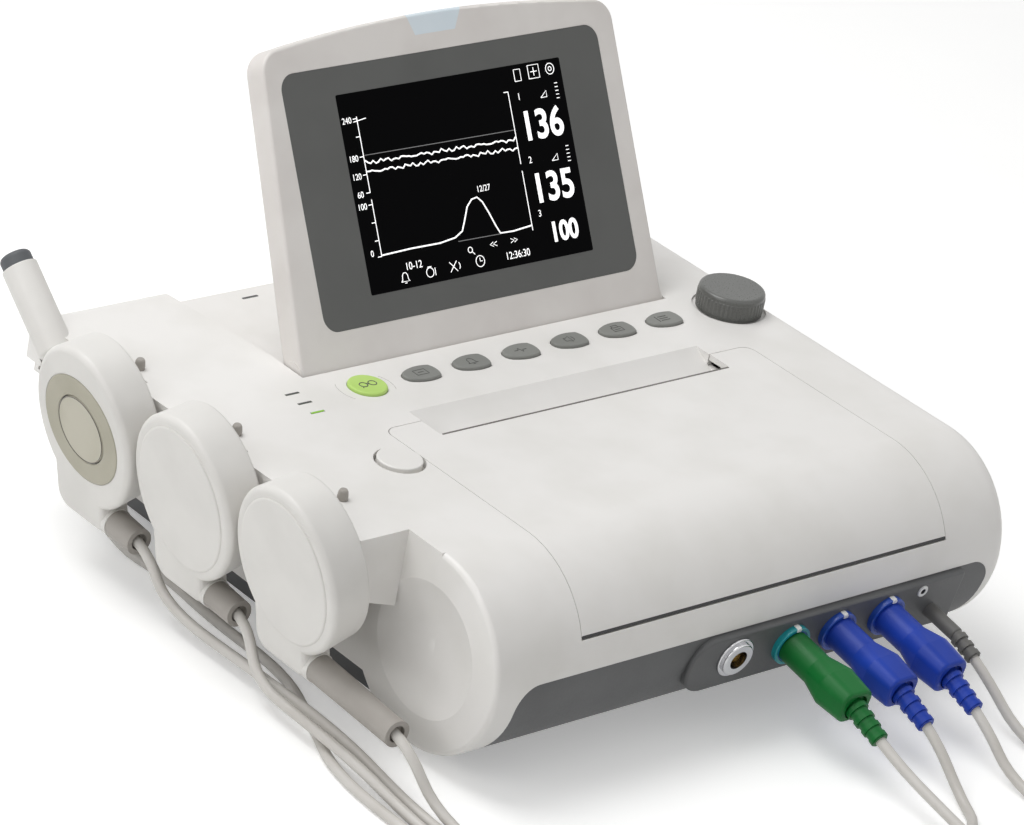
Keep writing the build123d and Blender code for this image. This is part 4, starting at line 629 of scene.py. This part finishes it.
# %% [markdown]
# ## The display
# The display is a small black graphic panel behind the grey lens, with white figures and traces. On the
# real one these are lit dots. Here the black field is a thin plate on the lens, and each trace is a fine
# stroke that gives a little light. Places on it are shares of its width and height, which can be read
# off a picture. Only plain numbers and generic signs are drawn.

# %% Display field
SCREEN_X, HINGE_Y, DECK = 30.752, 45.614, 100.0
SCREEN_LEAN = radians(30.5)
DISPLAY_WIDTH, DISPLAY_HEIGHT = 138.2, 93.5
# The display's middle, to the right of the screen's middle and up from its hinge.
DISPLAY_RIGHT, DISPLAY_UP = 5.0, 75.9
screen_plane = turned(
    (1, 0, 0), (0, sin(SCREEN_LEAN), cos(SCREEN_LEAN)), (0, -cos(SCREEN_LEAN), sin(SCREEN_LEAN)),
    Vector((SCREEN_X, HINGE_Y, DECK)) * MM,
)
display_plane = screen_plane @ Matrix.Translation(Vector((DISPLAY_RIGHT, DISPLAY_UP, 0.0)) * MM)
plate("display_field", DISPLAY_WIDTH, DISPLAY_HEIGHT, 0.8, -0.15, 0.02, display_plane,
      coated_display_glass, "screen")
print("display field: %.1f x %.1f mm" % (DISPLAY_WIDTH, DISPLAY_HEIGHT))

# %% Traces
def spot(s, t):
    """A place on the display from shares of its width and of its height, from the top left corner."""
    return ((s - 0.5) * DISPLAY_WIDTH, (0.5 - t) * DISPLAY_HEIGHT)


def jagged(first, last, steps, size, seed):
    """A heart rate trace that wanders up and down by an even, repeatable rule."""
    (x0, y0), (x1, y1) = first, last
    line = []
    for i in range(steps + 1):
        share = i / steps
        beat = 0.5 if i % 3 == 0 else -0.3
        wander = sin(seed + i * 2.3) * 0.6 + sin(seed * 1.7 + i * 0.83) * 0.5 + beat
        line.append((x0 + (x1 - x0) * share, y0 + (y1 - y0) * share + wander * size))
    return line


HUMP = [(0.075, 0.815), (0.2, 0.81), (0.33, 0.812), (0.40, 0.80), (0.435, 0.775), (0.455, 0.72),
        (0.475, 0.66), (0.50, 0.628), (0.525, 0.622), (0.545, 0.65), (0.565, 0.71), (0.585, 0.78),
        (0.60, 0.822), (0.66, 0.825), (0.70, 0.82), (0.745, 0.815)]
traces = [
    jagged(spot(0.075, 0.352), spot(0.742, 0.372), 60, 0.75, 1.0),
    jagged(spot(0.075, 0.398), spot(0.742, 0.418), 60, 0.75, 4.0),
    [spot(s, t) for s, t in HUMP],
]
strokes("display_traces", traces, 0.75, display_plane, bright_display_dots, "screen")
print("traces:", len(traces))

# %% Axes and guide lines
LEFT_AXIS, RIGHT_AXIS = 0.072, 0.745
TICKS = (0.13, 0.22, 0.32, 0.41, 0.50, 0.56, 0.65, 0.74, 0.82)
axes = [
    [spot(LEFT_AXIS, 0.12), spot(LEFT_AXIS, 0.50)], [spot(LEFT_AXIS, 0.535), spot(LEFT_AXIS, 0.82)],
    [spot(RIGHT_AXIS, 0.13), spot(RIGHT_AXIS, 0.50)], [spot(RIGHT_AXIS, 0.535), spot(RIGHT_AXIS, 0.84)],
]
axes += [[spot(0.055, t), spot(LEFT_AXIS, t)] for t in TICKS]
axes += [[spot(0.725, 0.13), spot(RIGHT_AXIS, 0.13)], [spot(0.055, 0.145), spot(0.11, 0.135)]]
strokes("display_axes", axes, 0.45, display_plane, bright_display_dots, "screen")
guides = [[spot(0.075, 0.315), spot(0.742, 0.325)], [spot(0.41, 0.822), spot(0.60, 0.826)]]
strokes("display_guides", guides, 0.4, display_plane, dim_display_dots, "screen")
print("axis lines:", len(axes), "guide lines:", len(guides))

# %% Figures
LARGE_FIGURES = (
    ("figure_upper", "136", 19.5, spot(0.872, 0.325)),
    ("figure_middle", "135", 19.5, spot(0.872, 0.645)),
    ("figure_lower", "100", 13.0, spot(0.885, 0.875)),
)
SMALL_FIGURES = (
    ("scale_240", "240", 4.2, spot(0.028, 0.135)), ("scale_180", "180", 4.2, spot(0.028, 0.325)),
    ("scale_120", "120", 4.2, spot(0.028, 0.415)), ("scale_60", "60", 4.2, spot(0.030, 0.505)),
    ("scale_100", "100", 4.2, spot(0.028, 0.565)), ("scale_0", "0", 4.2, spot(0.034, 0.80)),
    ("channel_1", "1", 4.6, spot(0.79, 0.165)), ("channel_2", "2", 4.6, spot(0.79, 0.49)),
    ("channel_3", "3", 4.6, spot(0.79, 0.765)), ("clock_figures", "12:36:30", 5.0, spot(0.66, 0.945)),
    ("day_figures", "10-12", 5.0, spot(0.20, 0.895)), ("peak_figures", "12/27", 4.2, spot(0.56, 0.585)),
)
for figures, squeeze, weight in ((LARGE_FIGURES, 0.92, 0.42), (SMALL_FIGURES, 0.9, 0.0)):
    for name, text, size, place in figures:
        words(name, text, size, place, display_plane, bright_display_dots, "screen",
              squeeze, weight)
print("figures:", len(LARGE_FIGURES) + len(SMALL_FIGURES))

# %% [markdown]
# ## Signs on the display
# The small signs are a bell, clocks, arrows and frames. A symbol font would need a file, so each sign is
# a few strokes about its own middle, in millimetres, and is then moved to its place.

# %% Shapes of signs
def bell(size):
    """Outline of a bell with its clapper."""
    outline = [(-0.5, -0.35), (-0.34, -0.2), (-0.3, 0.2), (-0.15, 0.42), (0.15, 0.42), (0.3, 0.2),
               (0.34, -0.2), (0.5, -0.35), (-0.5, -0.35)]
    clapper = [(-0.12, -0.5), (0.12, -0.5)]
    return [[(x * size, y * size) for x, y in line] for line in (outline, clapper)]


def box_line(x, y):
    """A rectangle about the middle, from its half sizes."""
    return [(-x, -y), (x, -y), (x, y), (-x, y), (-x, -y)]


print("strokes in a bell:", len(bell(1.0)))

# %% Signs on the display
display_signs = [
    (0.155, 0.945, bell(5.2)),
    (0.265, 0.945, [ring(0, 0, 2.2), [(-1.2, 2.6), (1.2, 2.6)], [(3.2, -1.8), (3.2, 1.8)]]),
    (0.37, 0.94, [[(-2.2, -2.4), (2.2, 2.4)], [(-2.2, 2.4), (2.2, -2.4)], ring(1.6, 0, 2.4, 8, -40, 80)]),
    (0.49, 0.94, [ring(0, 0, 2.6), [(0, 1.6), (0, 0), (1.3, 0)]]),
    (0.455, 0.875, [ring(0, 0, 1.3), [(1.0, -1.0), (2.4, -2.4)]]),
    (0.56, 0.87, [[(2.2, 1.0), (0, 0), (2.2, -1.0)], [(0, 1.0), (-2, 0), (0, -1.0)]]),
    (0.655, 0.87, [[(-2.2, 1.0), (0, 0), (-2.2, -1.0)], [(0, 1.0), (2, 0), (0, -1.0)]]),
    (0.80, 0.055, [box_line(2, 2.8)]),
    (0.875, 0.05, [box_line(3.4, 3.2), [(-2, 0), (2, 0)], [(0, -2), (0, 2)]]),
    (0.95, 0.05, [ring(0, 0, 2.6), ring(0, 0, 1.0, 12)]),
]
# Beside each rate stand a signal wedge and a short stack of bars.
for top in (0.175, 0.50):
    display_signs += [
        (0.905, top, [[(-2.4, -1.2), (1.4, -1.2), (1.4, 1.8), (-2.4, -1.2)]]),
        (0.965, top - 0.01, [[(-0.9, y), (0.9, y)] for y in (-3.6, -1.8, 0.0, 1.8, 3.6)]),
    ]
sign_lines = []
for s, t, lines in display_signs:
    x, y = spot(s, t)
    sign_lines += [[(x + a, y + b) for a, b in line] for line in lines]
strokes("display_signs", sign_lines, 0.42, display_plane, bright_display_dots, "screen")
print("display signs:", len(display_signs))

# %% [markdown]
# ## Signs on the keys
# Each rubber key carries a small printed sign. The signs are drawn on the deck's plane at the height of
# a key's top, and each rides on its key, so that it goes down with it. They are generic: a message box,
# a bell, a pulse line, a loudspeaker, a printer and a list.

# %% Key signs
KEY_X, KEY_Y, KEY_PITCH, KEY_TOP = -27.748, 25.314, 30.6, 101.6


def deck_plane(x, y, z):
    """A flat plane about a point."""
    return Matrix.Translation(Vector((x, y, z)) * MM)


key_signs = [
    [box_line(3.4, 2.2), [(-1.6, 0), (1.6, 0)]],
    bell(5.6),
    [[(-3.6, 0), (-1.4, 0), (-0.6, 1.8), (0.6, -1.8), (1.4, 0), (3.6, 0)]],
    [[(-2.6, -1.4), (-2.6, 1.4), (-1.0, 1.4), (0.8, 2.6), (0.8, -2.6), (-1.0, -1.4), (-2.6, -1.4)],
     ring(0.6, 0, 2.2, 8, -50, 100)],
    [[(-3.0, -2.4), (-3.0, 1.0), (3.0, 1.0), (3.0, -2.4), (-3.0, -2.4)],
     [(-1.8, 1.0), (-1.8, 2.8), (1.8, 2.8), (1.8, 1.0)], [(-1.6, -0.8), (1.6, -0.8)]],
    [[(-2.6, 1.8), (2.6, 1.8)], [(-2.6, 0), (2.6, 0)], [(-2.6, -1.8), (2.6, -1.8)],
     [(-4.0, 2.6), (-4.0, -2.6)]],
]
for i, sign in enumerate(key_signs):
    key_plane = deck_plane(KEY_X + KEY_PITCH * i, KEY_Y, KEY_TOP)
    strokes(f"key_sign_{i + 1}", sign, 0.4, key_plane, grey_ink_and_shade, f"key_{i + 1}")
print("key signs:", len(key_signs))

# %% Start sign
START_X = -59.348
start_sign = [
    ring(-2.6, 0, 2.0), ring(2.6, 0, 2.0), [(-0.9, 0.9), (0.9, -0.9)], [(-4.6, -2.6), (-3.8, -1.7)],
]
strokes("start_sign", start_sign, 0.5, deck_plane(START_X, KEY_Y, KEY_TOP), grey_ink_and_shade,
        "start_key")
print("strokes in the start sign:", len(start_sign))

# %% [markdown]
# ## Knob grip
# The knob's side is fluted so that a wet finger can turn it. Bump alone would leave the outline smooth,
# so a ring of real flutes rides on the knob. Its profile is turned round, and the radius dips at each
# flute.

# %% Knob grip
KNOB_X, KNOB_Y = 168.552, 24.914
FLUTES = 48
ROUND_STEPS = FLUTES * 4
FLUTE_DEEP = 0.32
# Radius, height over the knob's foot, and depth of the flutes there.
GRIP_PROFILE = [(16.2, 1.6, 0.0), (16.75, 2.1, FLUTE_DEEP), (16.75, 8.4, FLUTE_DEEP), (16.1, 9.3, 0.0),
                (15.9, 9.3, 0.0), (15.9, 1.6, 0.0)]
knob_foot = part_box("control_knob")[0].z / MM
grip = bmesh.new()
rows = []
for radius, height, deep in GRIP_PROFILE:
    row = []
    for i in range(ROUND_STEPS):
        turn = 2 * pi * i / ROUND_STEPS
        reach = radius - deep * (0.5 + 0.5 * cos(FLUTES * turn))
        row.append((reach * cos(turn), reach * sin(turn), knob_foot + height))
    rows.append(loop_of(grip, row))
bridge(grip, rows + rows[:1])
bmesh.ops.recalc_face_normals(grip, faces=grip.faces)
set_down("knob_grip", mesh_of(grip, "knob_grip"), deck_plane(KNOB_X, KNOB_Y, 0), moulded_knob_abs,
         "control_knob")
print("flutes:", FLUTES)

# %% [markdown]
# ## Status lamps and the start key's creases
# Three slim lamps lie in the deck, and the lowest one is lit. A finger finds the start key by a low
# crease on each side, and the creases' shade is painted as faint grey strokes. Both are so thin that a
# plate and a stroke on the deck are enough.

# %% Status lamps and creases
LAMP_X = -97.248
for name, behind, finish in (
    ("lamp_lit", 31.2, lit_lamp_acrylic), ("lamp_upper", 12.6, grey_ink_and_shade),
    ("lamp_middle", 21.9, grey_ink_and_shade),
):
    plate(name, 7.4, 1.1, 0.5, -0.05, 0.16, deck_plane(LAMP_X, HINGE_Y - behind, DECK), finish,
          "housing")
# Painted shade: each crease is a faint grey stroke on the deck.
creases = [ring(START_X, KEY_Y, 15.0, 12, 150, 60), ring(START_X, KEY_Y, 13.4, 12, -30, 60)]
strokes("start_crease_shade", creases, 0.25, deck_plane(0, 0, DECK), faint_crease_shade, "housing")
print("creases:", len(creases))

# %% [markdown]
# ## Socket rings
# The first socket's ring is teal, to match its green plug, and the others are blue. Each ring carries a
# white index mark that shows which way up its plug goes in. A ring is a turned profile with small
# chamfers, because a sharp rim would catch no light.

# %% Rings and index marks
PANEL_LEAN = radians(10.0)
RIM = 0.35
panel_back = (0, -cos(PANEL_LEAN), -sin(PANEL_LEAN))
panel_up = (0, -sin(PANEL_LEAN), cos(PANEL_LEAN))
SOCKET_PLACES = ((50.75, -159.5, 39.41), (80.25, -159.59, 39.9), (111.75, -159.67, 40.39))


def panel_plane(place):
    """A plane on the sloping front panel about a point."""
    return turned((1, 0, 0), panel_up, panel_back, Vector(place) * MM)


def ring_piece(name, inside, outside, low, high, plane, material, body, steps=48):
    """A turned ring with small chamfers on its front rims."""
    profile = [(inside, low), (outside, low), (outside, high - RIM), (outside - RIM, high),
               (inside + RIM, high), (inside, high - RIM)]
    form = bmesh.new()
    loops = [loop_of(form, [(x, y, h) for x, y in ring(0, 0, r, steps)[:-1]]) for r, h in profile]
    bridge(form, loops + loops[:1])
    bmesh.ops.recalc_face_normals(form, faces=form.faces)
    return set_down(name, mesh_of(form, name), plane, material, body)


for i, place in enumerate(SOCKET_PLACES):
    plane = panel_plane(place)
    finish = moulded_teal_abs if i == 0 else moulded_blue_abs
    ring_piece(f"socket_ring_{i + 1}", 8.4, 10.25, -0.1, 2.9, plane, finish, "housing")
    band = plane @ Matrix.Translation(Vector((0, 10.15, 1.4)) * MM) @ Matrix.Rotation(radians(-90), 4, "X")
    plate(f"socket_mark_{i + 1}", 2.8, 2.8, 0.5, -0.25, 0.25, band, printed_white_ink, "housing")
    face = plane @ Matrix.Translation(Vector((0, 9.3, 2.9)) * MM)
    plate(f"socket_tick_{i + 1}", 2.8, 1.7, 0.4, -0.2, 0.12, face, printed_white_ink, "housing")
print("socket rings:", len(SOCKET_PLACES))

# %% White ring of the small socket
reset_place = (133.252, -161.06, 48.27)
ring_piece("reset_ring", 1.35, 3.05, -0.1, 0.75, panel_plane(reset_place), printed_white_ink, "housing")
print("small ring at", reset_place)

# %% [markdown]
# ## Transducer faces
# The two ultrasound transducers have a face plate with its own rounded edge. The pressure transducer
# has a beige rubber rim around its plunger. The plates are oval, so a scaled sphere would bulge too
# much, and a few shrinking outlines give the flat middle and the soft shoulder.

# %% Planes of the faces
FACE_LEAN = 13.7
FACE_TILT = radians(FACE_LEAN)
face_out = (-cos(FACE_TILT), 0, -sin(FACE_TILT))
face_up = (-sin(FACE_TILT), 0, cos(FACE_TILT))


def face_plane(place):
    """A plane on a parked transducer's face about a point."""
    return turned((0, -1, 0), face_up, face_out, Vector(place) * MM)


def oval_plate(name, half_width, half_height, soft, high, plane, material, body, steps=72):
    """An oval plate with a rounded shoulder, closed below."""
    form = bmesh.new()
    loops = []
    for inset, z in ((0.0, -0.3), (0.0, high * 0.35), (soft * 0.35, high * 0.8), (soft, high)):
        across, along = half_width - inset, half_height - inset
        loops.append(loop_of(form, [(across * x, along * y, z) for x, y in ring(0, 0, 1, steps)[:-1]]))
    bridge(form, loops)
    form.faces.new(loops[-1])
    form.faces.new(loops[0][::-1])
    mesh = mesh_of(form, name)
    for face in mesh.polygons:
        face.use_smooth = len(face.vertices) == 4
    return set_down(name, mesh, plane, material, body)


print("faces lean by %.1f degrees" % FACE_LEAN)

# %% Face plates and the plunger's rim
for name, place in (("face_plate_1", (-176.87, 6.14, 76.26)), ("face_plate_2", (-174.15, -64.59, 76.26))):
    oval_plate(name, 29.6, 36.4, 1.2, 0.7, face_plane(place), moulded_transducer_abs, "housing")
toco_plane = face_plane((-179.59, 76.87, 76.26))
ring_piece("plunger_rim", 16.95, 26.9, -0.2, 0.35, toco_plane, moulded_rim_rubber, "housing", 72)
# Painted shade: a grey stroke stands for the shade in the groove round the plunger.
groove_shade_plane = toco_plane @ Matrix.Translation((0, 0, 0.5 * MM))
strokes("plunger_groove_shade", [ring(0, 0, 16.1, 64)], 0.35, groove_shade_plane, shade_line_grey, "toco_plunger")

# %% [markdown]
# ## Painted shade lines and small dark marks
# Paper that leaves the printer is torn against the rear edge of the door. The shade along that edge is
# painted as a dark grey line across the deck, and the shade in the gap under the door's front edge as a
# black strip. Each is a thin plate.
# The line rides on the door and the strip on the case, so that the gap opens between them.

# %% Painted shade at the door's rear edge and in the slot behind the screen
# Painted shade: a dark grey line along the door's rear edge.
door_edge_shade_plane = deck_plane(33.1, -24.736, DECK)
plate("door_edge_shade", 178.4, 1.0, 0.3, -0.4, 0.12, door_edge_shade_plane, shade_line_grey, "paper_door")
# The floor of the pocket behind the screen lies lower than the deck.
POCKET_FLOOR = 88.27
# The slot's dark opening is painted shade: a flat grey plate on the pocket floor.
slot_shade_plane = deck_plane(-37.6, 138.2, POCKET_FLOOR)
plate("pocket_slot_shade", 9.5, 1.6, 0.6, -0.2, 0.06, slot_shade_plane, grey_ink_and_shade, "housing")
print("pocket floor under the deck: %.1f mm" % (DECK - POCKET_FLOOR))

# %% Painted shade in the door's front gap
# The case's front roll: the middle of its curve, its radius, and how far round the gap lies.
ROLL_Y, ROLL_Z, ROLL_RADIUS = -111.086, 52.3, 47.7
gap_turn = radians(67.75)
gap_shade_plane = turned(
    (1, 0, 0), (0, cos(gap_turn), sin(gap_turn)), (0, -sin(gap_turn), cos(gap_turn)),
    Vector((34.25, ROLL_Y - ROLL_RADIUS * sin(gap_turn), ROLL_Z + ROLL_RADIUS * cos(gap_turn))) * MM,
)
# Painted shade: a black strip in the gap under the door's front edge.
plate("door_gap_shade", 226.6, 1.3, 0.3, -0.4, 0.07, gap_shade_plane, moulded_black_nylon, "housing")
print("seal height: %.1f mm" % (gap_shade_plane.translation.z / MM))

# %% Tips of the belt buttons
# They stand a little above the ledge behind each transducer.
TIP_PLACES = ((-146.0, 11.5), (-139.0, -55.3), (-149.0, 79.5))
for i, (x, y) in enumerate(TIP_PLACES):
    oval_plate(f"button_tip_{i + 1}", 2.5, 2.5, 0.9, 5.0, deck_plane(x, y, DECK), moulded_sleeve_rubber,
               "housing", 32)
print("button tips:", len(TIP_PLACES))

# %% Contact in the headphone jack
jack_place = (15.752, -159.76, 40.9)
ring_piece("jack_contact", 3.2, 4.75, -9.0, -6.5, panel_plane(jack_place), plated_gold, "housing")
print("jack contact at", jack_place)

# %% [markdown]
# ## Floor and light
# The object stands on a large pale floor under soft lamps, as in a product studio. A plain white floor
# would turn grey in its own shade, so it gives a little light to rays that show the background: those
# the camera sends, and those that metal mirrors or glass lets through. Other rays find it dark, so the
# object keeps its shadow. The world behind it works in the same way.

# %% Rays that show the background
def background_rays(owner):
    """One for what is seen directly, mirrored in metal or through glass, and zero for the rest."""
    rays = add_node(owner, "ShaderNodeLightPath")
    seen = rays.outputs["Is Camera Ray"]
    for kind in ("Is Glossy Ray", "Is Transmission Ray"):
        both = {0: seen, 1: rays.outputs[kind]}
        either = add_node(owner, "ShaderNodeMath", links=both, operation="MAXIMUM")
        seen = either.outputs[0]
    return seen


print("background rays ready")

# %% Floor
FLOOR_GLOW = 0.3
FLOOR_REACH = 6.0
# Studio paper is not quite even: its tone wanders over some 60 mm.
PAPER_CLOUD = 60.0
studio_paper, shader = new_material("studio_paper", Roughness=0.9, Emission_Color=linear("#FFFFFF"))
place = add_node(studio_paper, "ShaderNodeTexCoord")
mottle = add_node(
    studio_paper, "ShaderNodeTexNoise", {"Scale": per_mm(PAPER_CLOUD)}, {"Vector": place.outputs["Object"]}
)
tone = add_node(
    studio_paper, "ShaderNodeMix", {6: linear("#F3F3F2"), 7: linear("#F6F6F5")},
    {0: mottle.outputs["Fac"]}, data_type="RGBA",
)
glow = add_node(
    studio_paper, "ShaderNodeMapRange", {"To Min": 0.0, "To Max": FLOOR_GLOW},
    {"Value": background_rays(studio_paper)},
)
studio_paper.node_tree.links.new(tone.outputs[2], shader.inputs["Base Color"])
studio_paper.node_tree.links.new(glow.outputs["Result"], shader.inputs["Emission Strength"])
floor_mesh = bpy.data.meshes.new("floor")
floor_mesh.from_pydata(
    [(-FLOOR_REACH, -FLOOR_REACH, 0), (FLOOR_REACH, -FLOOR_REACH, 0), (FLOOR_REACH, FLOOR_REACH, 0),
     (-FLOOR_REACH, FLOOR_REACH, 0)], [], [(0, 1, 2, 3)]
)
floor = bpy.data.objects.new("floor", floor_mesh)
floor.data.materials.append(studio_paper)
bpy.context.scene.collection.objects.link(floor)
print("floor: %.0f m square" % (2 * FLOOR_REACH))

# %% [markdown]
# ## Lamps
# A wide lamp above and behind lights the deck and the tops of the transducers. One on the left shapes
# their faces. A weak one in front keeps the rolled front readable. Square soft boxes give the long, soft
# highlights that glossy plastic needs.

# %% Lamps
MACHINE_MIDDLE = (0, 0, 0.05)


def soft_lamp(name, place, size, power):
    """A square soft box pointed at the machine."""
    data = bpy.data.lights.new(name, "AREA")
    data.size = size
    data.energy = power
    lamp = bpy.data.objects.new(name, data)
    bpy.context.scene.collection.objects.link(lamp)
    lamp.location = place
    aim = Vector(MACHINE_MIDDLE) - Vector(place)
    lamp.rotation_euler = aim.to_track_quat("-Z", "Y").to_euler()


soft_lamp("sky_box", (-0.5, 0.6, 1.8), 1.1, 20.0)
soft_lamp("left_box", (-1.6, -0.1, 1.0), 1.0, 6.0)
soft_lamp("front_fill", (0.8, -1.7, 0.8), 1.0, 2.0)
print("lamps:", len(bpy.data.lights))

# %% World
# The world lights the object dimly, and shows as plain white where it is seen.
WORLD_FILL, WORLD_SEEN = 0.38, 1.0
world = bpy.data.worlds.new("studio")
bpy.context.scene.world = world
world.use_nodes = True
background = world.node_tree.nodes["Background"]
background.inputs["Color"].default_value = linear("#FFFFFF")
level = add_node(
    world, "ShaderNodeMapRange", {"To Min": WORLD_FILL, "To Max": WORLD_SEEN},
    {"Value": background_rays(world)},
)
world.node_tree.links.new(level.outputs["Result"], background.inputs["Strength"])
bpy.context.scene.view_settings.view_transform = "Standard"
print("world fill: %.2f" % WORLD_FILL)

# %% Finish
bpy.context.view_layer.update()
